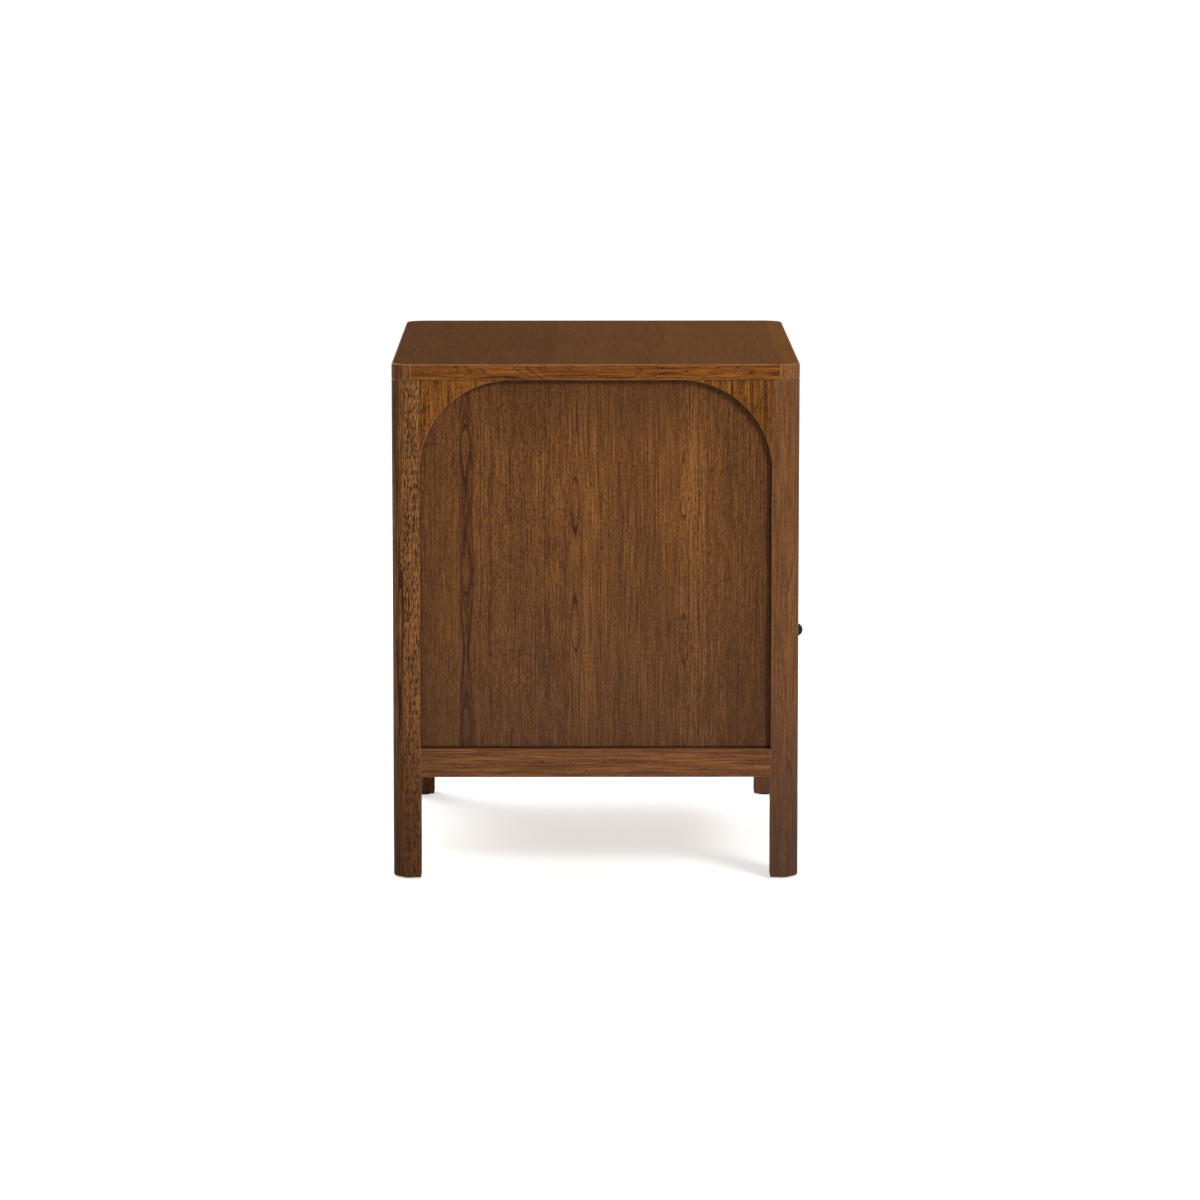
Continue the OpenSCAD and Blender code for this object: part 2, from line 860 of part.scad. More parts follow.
// A round knob on a waisted neck and a flat foot, with a blind hole for its screw
module knob() {
    ball_at = knob_l - knob_d / 2;
    color(bronze) translate([0, front_y, knob_z]) rotate([90, 0, 0]) difference() {
        union() {
            cylinder(d = knob_foot_d, h = knob_foot_t);
            cylinder(d = knob_neck_d, h = ball_at);
            translate([0, 0, ball_at]) sphere(d = knob_d);
        }
        rotate([180, 0, 0]) screw_hole(knob_screw_d, knob_screw_in);
    }
}

module knob_screw() {
    color(zinc) at_knob_screw() screw(knob_screw_d, knob_screw_l, knob_head_d, head_t);
}

top();
leg_front_left();
leg_front_right();
leg_back_left();
leg_back_right();
floor_glides();
side_panel_left();
side_panel_right();
back_panel();
rail_left();
rail_right();
rail_front();
rail_back();
divider_rail();
arch_left_front();
arch_left_back();
arch_right_front();
arch_right_back();
arch_niche_left();
arch_niche_right();
arch_back_left();
arch_back_right();
niche_floor();
bottom_board();
top_cleat_left();
top_cleat_right();
slide_spacer_left();
slide_spacer_right();
rail_dowels();
top_dowels();
top_screws();
cleat_screws();
slide_outer_left();
slide_outer_right();
slide_outer_screws();
slide_middle_left();
slide_middle_right();
ball_cage_outer_left();
ball_cage_outer_right();
ball_cage_inner_left();
ball_cage_inner_right();
slide_inner_left();
slide_inner_right();
slide_inner_screws();
drawer_front();
box_front();
box_back();
box_side_left();
box_side_right();
drawer_bottom();
front_screws();
knob();
knob_screw();
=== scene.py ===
import math

import bmesh
import bpy
from bpy.props import FloatProperty, FloatVectorProperty, PointerProperty
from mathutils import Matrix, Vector


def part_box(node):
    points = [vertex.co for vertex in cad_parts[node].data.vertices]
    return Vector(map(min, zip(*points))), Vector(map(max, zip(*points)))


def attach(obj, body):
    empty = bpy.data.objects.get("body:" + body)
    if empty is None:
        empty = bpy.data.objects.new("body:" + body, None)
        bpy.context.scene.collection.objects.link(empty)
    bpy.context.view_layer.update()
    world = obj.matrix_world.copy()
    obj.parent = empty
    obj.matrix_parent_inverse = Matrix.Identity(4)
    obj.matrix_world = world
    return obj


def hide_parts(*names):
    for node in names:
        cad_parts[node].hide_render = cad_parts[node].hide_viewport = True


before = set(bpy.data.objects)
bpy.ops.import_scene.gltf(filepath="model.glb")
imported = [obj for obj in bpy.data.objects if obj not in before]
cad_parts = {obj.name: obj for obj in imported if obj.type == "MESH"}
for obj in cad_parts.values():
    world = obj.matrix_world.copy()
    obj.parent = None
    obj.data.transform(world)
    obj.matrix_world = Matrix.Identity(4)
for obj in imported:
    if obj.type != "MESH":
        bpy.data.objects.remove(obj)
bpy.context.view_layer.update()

bl_info = {
    "name": "Arched Nightstand",
    "version": (1, 0, 0),
    "blender": (4, 5, 0),
    "location": "3D View > Sidebar > Nightstand",
    "description": "Dresses the nightstand's frame in stained oak, maple, steel and bronze",
    "category": "Object",
}

MM = 0.001
X_AXIS = Vector((1, 0, 0))
Y_AXIS = Vector((0, 1, 0))
Z_AXIS = Vector((0, 0, 1))

EDGE_STEPS = 4                  # faces around a planed edge
ARCH_EDGE_STEPS = 6             # faces around an arched edge
ARC_STEPS = 56                  # faces along an arched edge
LATHE_STEPS = 72                # faces around a turned piece
WIDE_ROUND = 5 * MM             # corners with a larger radius are round ones, and get no painted edge highlight
FINEST = 0.02 * MM              # the least radius in a mesh
ONE_POINT = 0.0005 * MM         # points nearer than this are one
ONE_FACE = math.radians(0.4)    # faces that meet at less are one
HARD_EDGE = math.radians(34)    # faces that meet at more get a rounded edge
SMOOTH = math.radians(50)       # faces that meet at less are shaded as one


def srgb(red, green, blue):
    """A colour given as it looks on a screen, from 0 to 255, as linear values."""
    shares = [c / 255 for c in (red, green, blue)]
    return tuple(s / 12.92 if s <= 0.04045 else ((s + 0.055) / 1.055) ** 2.4 for s in shares)


def colour(text, default):
    """A colour property."""
    return FloatVectorProperty(
        name=text, description=text, default=default, size=3, subtype="COLOR", min=0, max=1
    )


def length(text, default, description):
    """A length property in metres."""
    return FloatProperty(
        name=text, description=description, default=default, min=0, unit="LENGTH", precision=4
    )


def angle(text, default, description):
    """An angle property."""
    return FloatProperty(
        name=text, description=description, default=default, subtype="ANGLE", unit="ROTATION"
    )


def share(text, default, description):
    """A plain number from 0 up."""
    return FloatProperty(name=text, description=description, default=default, min=0)


class NIGHTSTAND_PG_shape(bpy.types.PropertyGroup):
    """Sizes of the edges and outlines that the wood pieces are shaped with"""

    corner_radius: length("Corner Radius", 24 * MM, "Rounding of the outer corners in plan")
    top_edge: length("Top Edge", 2 * MM, "Rounding along the top's upper and lower edges")
    arris: length("Arris", 0.7 * MM, "Rounding of every planed edge")
    arch_radius: length("Arch Radius", 107 * MM, "Radius of the arched corners")
    arch_arris: length("Arch Arris", 1.3 * MM, "Rounding along the arched corners' curved edge")
    panel_quirk: length("Panel Quirk", 2.2 * MM, "Height of the shadow line at the panels' feet")
    quirk_depth: length("Quirk Depth", 2.5 * MM, "Depth of that shadow line")


class NIGHTSTAND_PG_oak(bpy.types.PropertyGroup):
    """Colours of the stained oak, and its finish"""

    light: colour("Light", srgb(152, 101, 53))
    middle: colour("Middle", srgb(104, 65, 34))
    dark: colour("Dark", srgb(60, 33, 18))
    pore: colour("Pores", srgb(31, 17, 13))
    foot: colour("Foot", srgb(62, 46, 42))
    # The colour and the strength of the painted highlight along the edges
    lit_edge: colour("Edge Highlight", srgb(158, 112, 82))
    edge_highlight_strength: share("Edge Highlight Strength", 0.6, "How strongly the painted highlight shows along the edges")
    roughness: share("Roughness", 0.5, "Roughness of the oiled wood")


class NIGHTSTAND_PG_fittings(bpy.types.PropertyGroup):
    """Colours of the drawer box and the metal parts"""

    maple: colour("Maple", srgb(214, 178, 132))
    birch: colour("Birch", srgb(206, 172, 128))
    beech: colour("Beech", srgb(205, 160, 118))
    zinc: colour("Zinc", srgb(196, 199, 202))
    brass: colour("Brass", srgb(196, 172, 104))
    bronze: colour("Bronze", srgb(24, 19, 17))
    felt: colour("Felt", srgb(44, 41, 39))


class NIGHTSTAND_PG_stage(bpy.types.PropertyGroup):
    """The camera, the floor and the lights"""

    camera_place: FloatVectorProperty(
        name="Camera Place", description="Where the camera stands",
        default=(-6.5184, 0.0211, 1.1839), size=3, subtype="XYZ", unit="LENGTH"
    )
    camera_turn: angle("Camera Turn", 0.0042, "Turn to the right of straight on")
    camera_tilt: angle("Camera Tilt", 0.13616, "Tilt below level")
    lens: share("Lens", 160.43, "Focal length in millimetres")
    floor: colour("Floor", (0.7, 0.7, 0.7))
    floor_lift: share("Floor Lift", 0.60, "Light that the floor adds near the object, as seen")
    floor_far: share("Floor Lift Far Off", 0.78, "The same, a few metres from the object")
    sky: share("Sky", 0.36, "Strength of the light from all around")
    key: share("Key Light", 176.0, "Power of the large light on the right in watts")
    fill: share("Fill Light", 125.0, "Power of the light behind the object in watts")


class Sockets:
    """Adds nodes to one tree. Each input is a number, a vector, another node's socket, or None
    to leave it as it is."""

    def __init__(self, tree):
        self.tree = tree

    def plug(self, socket, value):
        if isinstance(value, bpy.types.NodeSocket):
            self.tree.links.new(value, socket)
        elif value is not None:
            socket.default_value = value

    def add(self, kind, *inputs, **settings):
        node = self.tree.nodes.new("ShaderNode" + kind)
        for key, value in settings.items():
            setattr(node, key, value)
        for socket, value in zip(node.inputs, inputs):
            self.plug(socket, value)
        return node

    def math(self, operation, a, b=None, c=None, clamp=False):
        return self.add("Math", a, b, c, operation=operation, use_clamp=clamp).outputs[0]

    def vector(self, operation, a, b=None):
        node = self.add("VectorMath", a, b, operation=operation)
        return node.outputs["Value" if operation in ("DOT_PRODUCT", "LENGTH") else "Vector"]

    def parts(self, vector):
        """A vector's three numbers."""
        return self.add("SeparateXYZ", vector).outputs

    def joined(self, x, y, z):
        """Three numbers as a vector."""
        return self.add("CombineXYZ", x, y, z).outputs[0]

    def here(self):
        """The point in the object's own space, which is the row frame, in metres."""
        return self.add("TexCoord").outputs["Object"]

    def scaled(self, point, size):
        """A point divided by a pattern's size along each of its axes."""
        return self.vector("MULTIPLY", point, tuple(1 / side for side in size))

    def noise(self, point, detail=2.0, roughness=0.5):
        node = self.add("TexNoise", noise_dimensions="3D")
        self.plug(node.inputs["Vector"], point)
        self.plug(node.inputs["Scale"], 1.0)
        self.plug(node.inputs["Detail"], detail)
        self.plug(node.inputs["Roughness"], roughness)
        return node.outputs

    def pattern(self, point, size, detail=2.0, roughness=0.5):
        """Noise of that size, about 0."""
        return self.centred(self.noise(self.scaled(point, size), detail, roughness)["Fac"])

    def draw(self, number):
        """A number's own value from 0 to 1 and its own colour."""
        return self.add("TexWhiteNoise", None, number, noise_dimensions="1D").outputs

    def cells(self, point):
        """Cells about one unit across."""
        node = self.add("TexVoronoi", point, voronoi_dimensions="3D")
        self.plug(node.inputs["Scale"], 1.0)
        return node

    def centred(self, value):
        """A value about 0 from one about a half."""
        return self.math("SUBTRACT", value, 0.5)

    def ramp(self, value, low, high, to_low=0.0, to_high=1.0):
        return self.add(
            "MapRange", value, low, high, to_low, to_high, interpolation_type="SMOOTHSTEP"
        ).outputs[0]

    def mix(self, factor, a, b, blend="MIX"):
        """Two colours mixed. The node has its sockets for colours at 6 and 7, and 2."""
        node = self.add("Mix", data_type="RGBA", blend_type=blend, clamp_factor=True)
        self.plug(node.inputs[0], factor)
        self.plug(node.inputs[6], a)
        self.plug(node.inputs[7], b)
        return node.outputs[2]

    def total(self, first, *terms):
        """first plus each term, where a term is a pair of a value and what it is multiplied by."""
        for value, by in terms:
            first = self.math("MULTIPLY_ADD", value, by, first)
        return first

    def bump(self, shader, height, distance, strength=1.0):
        """Raises the shader's surface by a height of 0 to 1, distance metres high."""
        node = self.add("Bump")
        self.plug(node.inputs["Height"], height)
        self.plug(node.inputs["Distance"], distance)
        self.plug(node.inputs["Strength"], strength)
        self.plug(shader.inputs["Normal"], node.outputs["Normal"])


# What a piece can set in its wood. Widths, lengths and shifts are in millimetres.
GRAIN_COLOURS = ("Light", "Middle", "Dark", "Pore")
GRAIN_NUMBERS = {
    "Ring Width": 3.6,
    "Sway": 12.0,               # how far the tree's heart sways into and out of the board
    "Sway Length": 640.0,       # and over what length
    "Wander": 9.0,              # how far it strays
    "Board Width": 5000.0,      # boards or leaves of veneer side by side
    "Board Start": 2500.0,
    "Board Shift": 0.0,
    "Scatter": 0.0,             # how much their places in the tree differ
    "Seed": 0.0,
    "Rings": 0.3,
    "Heart": 0.0,               # how strongly lines near the heart show
    "Streaks": 0.5,
    "Flecks": 0.8,
    "Pores": 0.6,
    "Pore Step": 0.0,           # how much more porous each next board is
    "Pore Size": 1.0,
    "Pore Length": 7.5,
    "Pore Fill": 0.39,
    "Pore Scatter": 1.0,
    "Tone": 0.25,
    "Bands": 0.35,
    "Shade": 0.5,
    "Shade Step": 0.0,          # how much lighter each next board is
}
GRAIN_OUTPUTS = {"Color": "Color", "Roughness": "Float", "Height": "Float"}

# Sizes in millimetres of the wood's patterns: across the board, into it and along the grain
DRIFT = (38.0, 38.0, 260.0)
RIPPLE = (3.2, 3.2, 26.0)
FADING = (9.0, 9.0, 55.0)
FLECK = (1.0, 1.0, 4.0)
FIBRE = (1.15, 1.15, 46.0)
STRAND = (3.2, 3.2, 120.0)
BAND = (9.0, 9.0, 130.0)
CLOUD = (50.0, 50.0, 220.0)
POROUS_PATCH = (5.0, 5.0, 30.0)
HAIR_PORE = (0.62, 0.62, 5.5)

# Millimetres from the tree's heart between which each of these starts or ends
PITH = (2.5, 4.0)
HEART_LINES = (7.0, 14.0)
FLAMES = (10.0, 42.0)

SWAY_HOLD = 0.6                 # a smaller one makes the heart stay longer on one side
RIPPLE_DEPTH = 0.9              # millimetres
UNEVEN_PACE = 0.37              # how fast the growth changes from year to year
UNEVEN_YEARS = 1.5              # and how much
EARLY_WOOD = 0.34               # share of a year's ring
LATE_EDGE = 0.9                 # where in the year the next early wood begins to show
POOR_YEARS = 0.2                # early wood in the poorest years
PORE_RIM = 0.13                 # how softly a wide pore ends
HAIR_RIM = (0.12, 0.4)          # where a hair-fine pore begins and ends to fade
OPENING = (0.2, 0.85)           # early wood in which the first and the last wide pores show

# These only keep boards, years and pieces from showing the same pattern
BOARD_DRAW = 7.31
YEAR_DRAW = 1.7
BOARD_SLIDE = 9.0
BOARD_RISE = 23.0
BOARD_APART = 311.0
SEED_APART = 3.7

# Painted shade along an arched opening, near its corners and under the top: how far in it reaches,
# and how strong it is at the edge
OPENING_SHADE = ((7 * MM, 0.6), (120 * MM, 0.40))

EDGE_HIGHLIGHT_PATCHES = (28, 28, 28)   # stronger and weaker places of the painted edge highlight, to the metre
PALE_STAINS = (1.16, 1.0, 0.74, 0.62)   # a pale wood's stains as shares of its colour


def new_group(name, inputs, outputs):
    """An empty node group with those sockets, what its input node gives, and its results."""
    tree = bpy.data.node_groups.new(name, "ShaderNodeTree")
    for label, kind, default in inputs:
        socket = tree.interface.new_socket(
            name=label, in_out="INPUT", socket_type="NodeSocket" + kind
        )
        if default is not None:
            socket.default_value = default
    for label, kind in outputs:
        tree.interface.new_socket(name=label, in_out="OUTPUT", socket_type="NodeSocket" + kind)
    given = tree.nodes.new("NodeGroupInput").outputs
    result = tree.nodes.new("NodeGroupOutput").inputs
    return Sockets(tree), given, result


def board_place(s, given):
    """Boards glued side by side, each with its own place in the tree: a point's board, its
    distance from the joint, its board's luck, and where it is in the tree."""
    at = s.parts(given["Point"])
    steps = s.math("DIVIDE", s.math("ADD", at[0], given["Board Start"]), given["Board Width"])
    board = s.math("FLOOR", steps)
    joint = s.math("MULTIPLY", s.math("FRACT", steps), given["Board Width"])
    luck = s.draw(s.total(given["Seed"], (board, BOARD_DRAW)))["Color"]
    luck = s.parts(s.vector("SUBTRACT", luck, (0.5, 0.5, 0.5)))
    across = s.total(at[0], (board, given["Board Shift"]), (luck[0], given["Scatter"]))
    into = s.total(at[1], (luck[1], given["Scatter"]))
    slide = s.math("MULTIPLY", given["Scatter"], BOARD_SLIDE)
    along = s.total(at[2], (luck[2], slide), (board, BOARD_RISE))
    return board, joint, luck[0], (across, into, along)


def year_rings(s, given, board, place, spot):
    """The rings about the tree's heart, which sways and wanders along the trunk: how near the
    heart is, how much early wood there is, and how strongly the rings show."""
    across, into, along = place
    drift = s.noise(s.scaled(spot, DRIFT), detail=2.0, roughness=0.45)["Color"]
    drift = s.parts(s.vector("SUBTRACT", drift, (0.5, 0.5, 0.5)))
    turn = s.math("DIVIDE", s.math("MULTIPLY", along, 2 * math.pi), given["Sway Length"])
    swing = s.math("SINE", turn)
    swing = s.math(
        "DIVIDE", s.math("MULTIPLY", swing, 1 + SWAY_HOLD),
        s.math("ADD", s.math("ABSOLUTE", swing), SWAY_HOLD)
    )
    off_across = s.total(across, (drift[0], given["Wander"]))
    off_into = s.total(into, (drift[1], given["Wander"]), (swing, given["Sway"]))
    ripple = s.pattern(spot, RIPPLE, detail=1.0)
    radius = s.vector("LENGTH", s.joined(off_across, off_into, 0.0))
    radius = s.total(radius, (ripple, RIPPLE_DEPTH))
    # Years of uneven growth
    year = s.math("DIVIDE", radius, given["Ring Width"])
    uneven = s.add("TexNoise", noise_dimensions="1D")
    s.plug(uneven.inputs["W"], s.total(given["Seed"], (year, UNEVEN_PACE)))
    s.plug(uneven.inputs["Detail"], 1.0)
    year = s.total(year, (uneven.outputs["Fac"], UNEVEN_YEARS))
    age = s.math("FRACT", year)
    # The heart shows most in the first board
    others = s.math("MULTIPLY_ADD", s.math("ABSOLUTE", board), 0.9, 1.0)
    heart = s.math("DIVIDE", given["Heart"], others)
    near_heart = s.ramp(radius, *HEART_LINES, heart, 0.0)
    spring = s.math("MULTIPLY_ADD", near_heart, 0.05, EARLY_WOOD)
    early = s.ramp(age, 0.0, spring, 1.0, 0.0)
    early = s.math("ADD", early, s.ramp(age, LATE_EDGE, 1.0))
    faded = s.noise(s.scaled(spot, FADING), detail=1.0)["Fac"]
    early = s.math("MULTIPLY", early, s.ramp(faded, 0.3, 0.55, 0.5, 1.0))
    # Good years and poor ones, and no ring right at the heart
    good = s.draw(s.total(given["Seed"], (s.math("FLOOR", year), YEAR_DRAW)))["Value"]
    good = s.math("MULTIPLY_ADD", good, 1 - POOR_YEARS, POOR_YEARS)
    good = s.math("MAXIMUM", good, s.math("MULTIPLY", near_heart, 0.5))
    early = s.math("MULTIPLY", early, s.math("MULTIPLY", good, s.ramp(radius, *PITH)))
    flame = s.ramp(radius, *FLAMES, s.math("MULTIPLY", given["Heart"], 0.85), 0.0)
    strong = s.math("ADD", s.math("MAXIMUM", near_heart, flame), 1.0)
    return near_heart, early, s.math("MULTIPLY", given["Rings"], strong)


def pore_marks(s, given, board, spot, early):
    """Pores cut lengthwise, wide ones in the early wood and hair-fine ones all over: how deep
    they are, and how much stain they hold."""
    patch = s.noise(s.scaled(spot, POROUS_PATCH), detail=1.0)["Fac"]
    porous = s.total(given["Pores"], (board, given["Pore Step"]))
    open_to = s.total(early, (s.centred(patch), 1.8), (porous, 0.3))
    open_to = s.ramp(open_to, *OPENING)
    wide = s.math("DIVIDE", 1.0, given["Pore Size"])
    squat = s.joined(1.0, 1.0, s.math("DIVIDE", 1.0, given["Pore Length"]))
    grid = s.add("VectorMath", s.vector("MULTIPLY", spot, squat), operation="SCALE")
    s.plug(grid.inputs["Scale"], wide)
    cells = s.cells(grid.outputs[0])
    s.plug(cells.inputs["Randomness"], given["Pore Scatter"])
    inner = s.math("SUBTRACT", given["Pore Fill"], PORE_RIM)
    outer = s.math("ADD", given["Pore Fill"], PORE_RIM)
    vessel = s.ramp(cells.outputs["Distance"], inner, outer, 1.0, 0.0)
    lot = s.parts(cells.outputs["Color"])[0]
    cut_open = s.ramp(s.math("SUBTRACT", open_to, lot), 0.0, 0.12)
    fine = s.cells(s.scaled(spot, HAIR_PORE)).outputs["Distance"]
    hair = s.ramp(fine, *HAIR_RIM, 1.0, 0.0)
    vessel = s.math("MULTIPLY", vessel, cut_open)
    hair = s.math("MULTIPLY", hair, s.math("MULTIPLY_ADD", open_to, 0.5, 0.15))
    deep = s.math("MAXIMUM", vessel, hair)
    filled = s.math("MULTIPLY", hair, s.math("MINIMUM", porous, 1.0))
    filled = s.math("MAXIMUM", s.math("MULTIPLY", vessel, porous), filled, clamp=True)
    return deep, filled


def grain_group():
    """Ring-porous wood. Point is in millimetres from the tree's heart: across the board, into
    it, and along the grain."""
    inputs = [("Point", "Vector", None)]
    inputs += [(label, "Float", number) for label, number in GRAIN_NUMBERS.items()]
    inputs += [(label, "Color", None) for label in GRAIN_COLOURS]
    s, given, result = new_group("wood_grain", inputs, GRAIN_OUTPUTS.items())
    board, joint, luck, place = board_place(s, given)
    # Each board also has its own part of every pattern
    local = s.joined(*place)
    aside = s.math("MULTIPLY", board, BOARD_APART)
    up = s.math("MULTIPLY", given["Seed"], SEED_APART)
    spot = s.vector("ADD", local, s.joined(aside, given["Seed"], up))
    near_heart, early, rings = year_rings(s, given, board, place, spot)
    fleck = s.pattern(spot, FLECK, detail=1.0)
    fibre = s.pattern(spot, FIBRE, roughness=0.55)
    strand = s.pattern(spot, STRAND)
    bands = s.pattern(spot, BAND)
    cloud = s.pattern(spot, CLOUD)
    pores, filled = pore_marks(s, given, board, spot, early)
    # How light the wood is, from 0 for its dark colour through its middle one to 1
    value = s.total(
        given["Shade"],
        (s.math("SUBTRACT", early, 0.2), s.math("MULTIPLY", rings, -1.0)),
        (fleck, given["Flecks"]),
        (fibre, s.math("MULTIPLY", given["Streaks"], 4.0)),
        (strand, s.math("MULTIPLY", given["Streaks"], 0.9)),
        (cloud, given["Tone"]),
        (bands, given["Bands"]),
        (board, given["Shade Step"]),
        (luck, s.math("MULTIPLY", given["Tone"], 0.6)),
        (near_heart, -0.07),
    )
    lower = s.add("MapRange", value, 0.0, 0.5).outputs[0]
    lower = s.mix(lower, given["Dark"], given["Middle"])
    wood = s.mix(s.add("MapRange", value, 0.5, 1.0).outputs[0], lower, given["Light"])
    wood = s.mix(filled, wood, given["Pore"])
    seam = s.ramp(joint, 0.0, 0.5, 0.45, 0.0)
    s.plug(result["Color"], s.mix(seam, wood, given["Dark"]))
    s.plug(result["Roughness"], s.total(0.0, (pores, 0.22), (cloud, 0.10), (fibre, 0.08)))
    s.plug(result["Height"], s.total(0.0, (pores, -1.0), (fibre, 0.5), (early, -0.2)))
    return s.tree


def principled(name, roughness, **values):
    """A new material with a Principled shader, its own values set on its sockets."""
    material = bpy.data.materials.new(name)
    material.use_nodes = True
    shader = material.node_tree.nodes["Principled BSDF"]
    shader.inputs["Roughness"].default_value = roughness
    for label, value in values.items():
        shader.inputs[label.replace("_", " ")].default_value = value
    return material, Sockets(material.node_tree), shader


def placed_point(s, heart, along, across):
    """The row frame's point in millimetres from heart: across, into and along the grain."""
    into = Vector(along).cross(Vector(across))
    off = s.vector("SUBTRACT", s.here(), tuple(heart))
    axes = [s.vector("DOT_PRODUCT", off, tuple(axis / MM)) for axis in (across, into, along)]
    return s.joined(*axes)


def painted_opening_shade(s, here, opening):
    """How much painted shade darkens the wood along an arched opening: in the shade of its corners
    and under the top. opening is the axis across it, its middle, half its width, its top and the
    radius of its corners."""
    axis, middle, half, top, radius = opening
    aside = s.math("ABSOLUTE", s.math("SUBTRACT", here[axis], middle))
    aside = s.math("SUBTRACT", aside, half - radius)
    above = s.math("SUBTRACT", here[2], top - radius)
    corner = s.joined(s.math("MAXIMUM", aside, 0.0), s.math("MAXIMUM", above, 0.0), 0.0)
    inside = s.math("SUBTRACT", radius, s.vector("LENGTH", corner))
    near, wide = [s.ramp(inside, 0.0, reach, amount, 0.0) for reach, amount in OPENING_SHADE]
    return s.math("MAXIMUM", near, wide)


def wood(
    name, stains, heart, along, across, coat=0.12, foot=0.0, foot_top=0.32, foot_stain=None,
    opening=None, **grain
):
    """Wood with its own place in the tree. stains are the colours that GRAIN_COLOURS names, and
    heart is a point on the tree's middle line, in metres. foot is how far the colour turns to the
    foot colour from foot_top down to the floor, and opening is an arched opening along which
    painted shade darkens the wood."""
    look = bpy.context.scene.nightstand_oak
    material, s, shader = principled(
        name, look.roughness, Specular_IOR_Level=0.0, Coat_Weight=coat, Coat_Roughness=0.3
    )
    group = bpy.data.node_groups.get("wood_grain") or grain_group()
    node = s.add("Group", node_tree=group)
    s.plug(node.inputs["Point"], placed_point(s, heart, along, across))
    for label, stain in zip(GRAIN_COLOURS, stains):
        s.plug(node.inputs[label], (*stain, 1.0))
    for label, value in grain.items():
        s.plug(node.inputs[label.replace("_", " ")], value)
    tone = node.outputs["Color"]
    here = s.parts(s.here())
    # Darker towards the floor: below foot_top the colour turns to the foot colour
    if foot:
        low = s.ramp(here[2], 0.0, foot_top, foot, 0.0)
        tone = s.mix(low, tone, (*(foot_stain or look.foot), 1.0))
    # Painted shade along the arched opening: the wood darkens towards its dark colour near the
    # corners and under the top
    if opening:
        tone = s.mix(painted_opening_shade(s, here, opening), tone, (*look.dark, 1.0))
    # Painted highlight along the edges: a lighter colour, in patches, where light would catch the
    # rounded edges
    edge_highlight = s.add("Attribute", attribute_name="edge_highlight").outputs["Fac"]
    patchy = s.noise(s.vector("MULTIPLY", s.here(), EDGE_HIGHLIGHT_PATCHES), detail=3.0)["Fac"]
    edge_highlight = s.math("MULTIPLY", edge_highlight, s.ramp(patchy, 0.35, 0.65, 0.25, look.edge_highlight_strength))
    tone = s.mix(edge_highlight, tone, (*look.lit_edge, 1.0))
    s.plug(shader.inputs["Base Color"], tone)
    roughness = s.math("ADD", node.outputs["Roughness"], look.roughness)
    s.plug(shader.inputs["Roughness"], roughness)
    s.bump(shader, node.outputs["Height"], 0.12 * MM, strength=0.6)
    return material


def oak(name, heart, along, across, tint=(1, 1, 1), **grain):
    """The stained oak, with its colours multiplied by tint for one board."""
    look = bpy.context.scene.nightstand_oak
    plain = (look.light, look.middle, look.dark, look.pore)
    stains = [[c * t for c, t in zip(stain, tint)] for stain in plain]
    return wood(f"oak_{name}", stains, heart, along, across, **grain)


def pale_wood(name, node, base, along, across, **grain):
    """A pale close-grained wood for a node, in the colour base."""
    low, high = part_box(node)
    stains = [[c * k for c in base] for k in PALE_STAINS]
    quiet = dict(
        Rings=0.16, Streaks=0.2, Pores=0.25, Pore_Size=0.6, Tone=0.2, Ring_Width=2.6, Wander=14.0
    )
    heart = (low + high) / 2 + Vector(across).cross(Vector(along)) * 30 * MM
    return wood(name, stains, heart, along, across, **{**quiet, **grain})


def plywood(name, node, layers):
    """Birch plywood: a plain face, and layers turned by turns that show at the edges."""
    base = bpy.context.scene.nightstand_fittings.birch
    low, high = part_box(node)
    material = pale_wood(name, node, base, Y_AXIS, X_AXIS, Seed=low.z / MM)
    s = Sockets(material.node_tree)
    height = s.parts(s.here())[2]
    layer = s.math("DIVIDE", s.math("SUBTRACT", height, low.z), (high.z - low.z) / layers)
    crossed = s.math("MODULO", s.math("FLOOR", layer), 2.0)
    grain = next(n for n in material.node_tree.nodes if n.type == "GROUP")
    s.plug(grain.inputs["Shade"], s.math("MULTIPLY_ADD", crossed, -0.3, 0.6))
    return material


def metal(name, base, roughness, run=(1, 1, 1), metallic=1.0, mottle=0.14, **values):
    """Metal in the colour base. Its fine mottle is longer by run along each axis."""
    material, s, shader = principled(name, roughness, Metallic=metallic, **values)
    here = s.scaled(s.here(), [1.4 * MM * side for side in run])
    fine = s.centred(s.noise(here, detail=4.0, roughness=0.6)["Fac"])
    crystals = s.cells(s.vector("MULTIPLY", here, (0.4, 0.4, 0.4))).outputs["Color"]
    tint = s.math("MULTIPLY_ADD", s.parts(crystals)[0], mottle, 1 - mottle / 2)
    tint = s.total(tint, (fine, mottle * 2.2))
    shade = s.joined(tint, tint, tint)
    s.plug(shader.inputs["Base Color"], s.mix(1.0, (*base, 1.0), shade, blend="MULTIPLY"))
    s.plug(shader.inputs["Roughness"], s.total(roughness, (fine, 0.22)))
    s.bump(shader, fine, 0.03 * MM, strength=0.5)
    return material


def felt(name, base):
    """Pressed felt, in the colour base."""
    material, s, shader = principled(
        name, 0.95, Specular_IOR_Level=0.1, Sheen_Weight=0.3, Sheen_Roughness=0.6
    )
    fuzz = s.noise(s.scaled(s.here(), [0.5 * MM] * 3), detail=4.0, roughness=0.7)["Fac"]
    light = [c * 1.7 for c in base]
    s.plug(shader.inputs["Base Color"], s.mix(s.ramp(fuzz, 0.3, 0.7), (*base, 1.0), (*light, 1.0)))
    s.bump(shader, fuzz, 0.3 * MM)
    return material


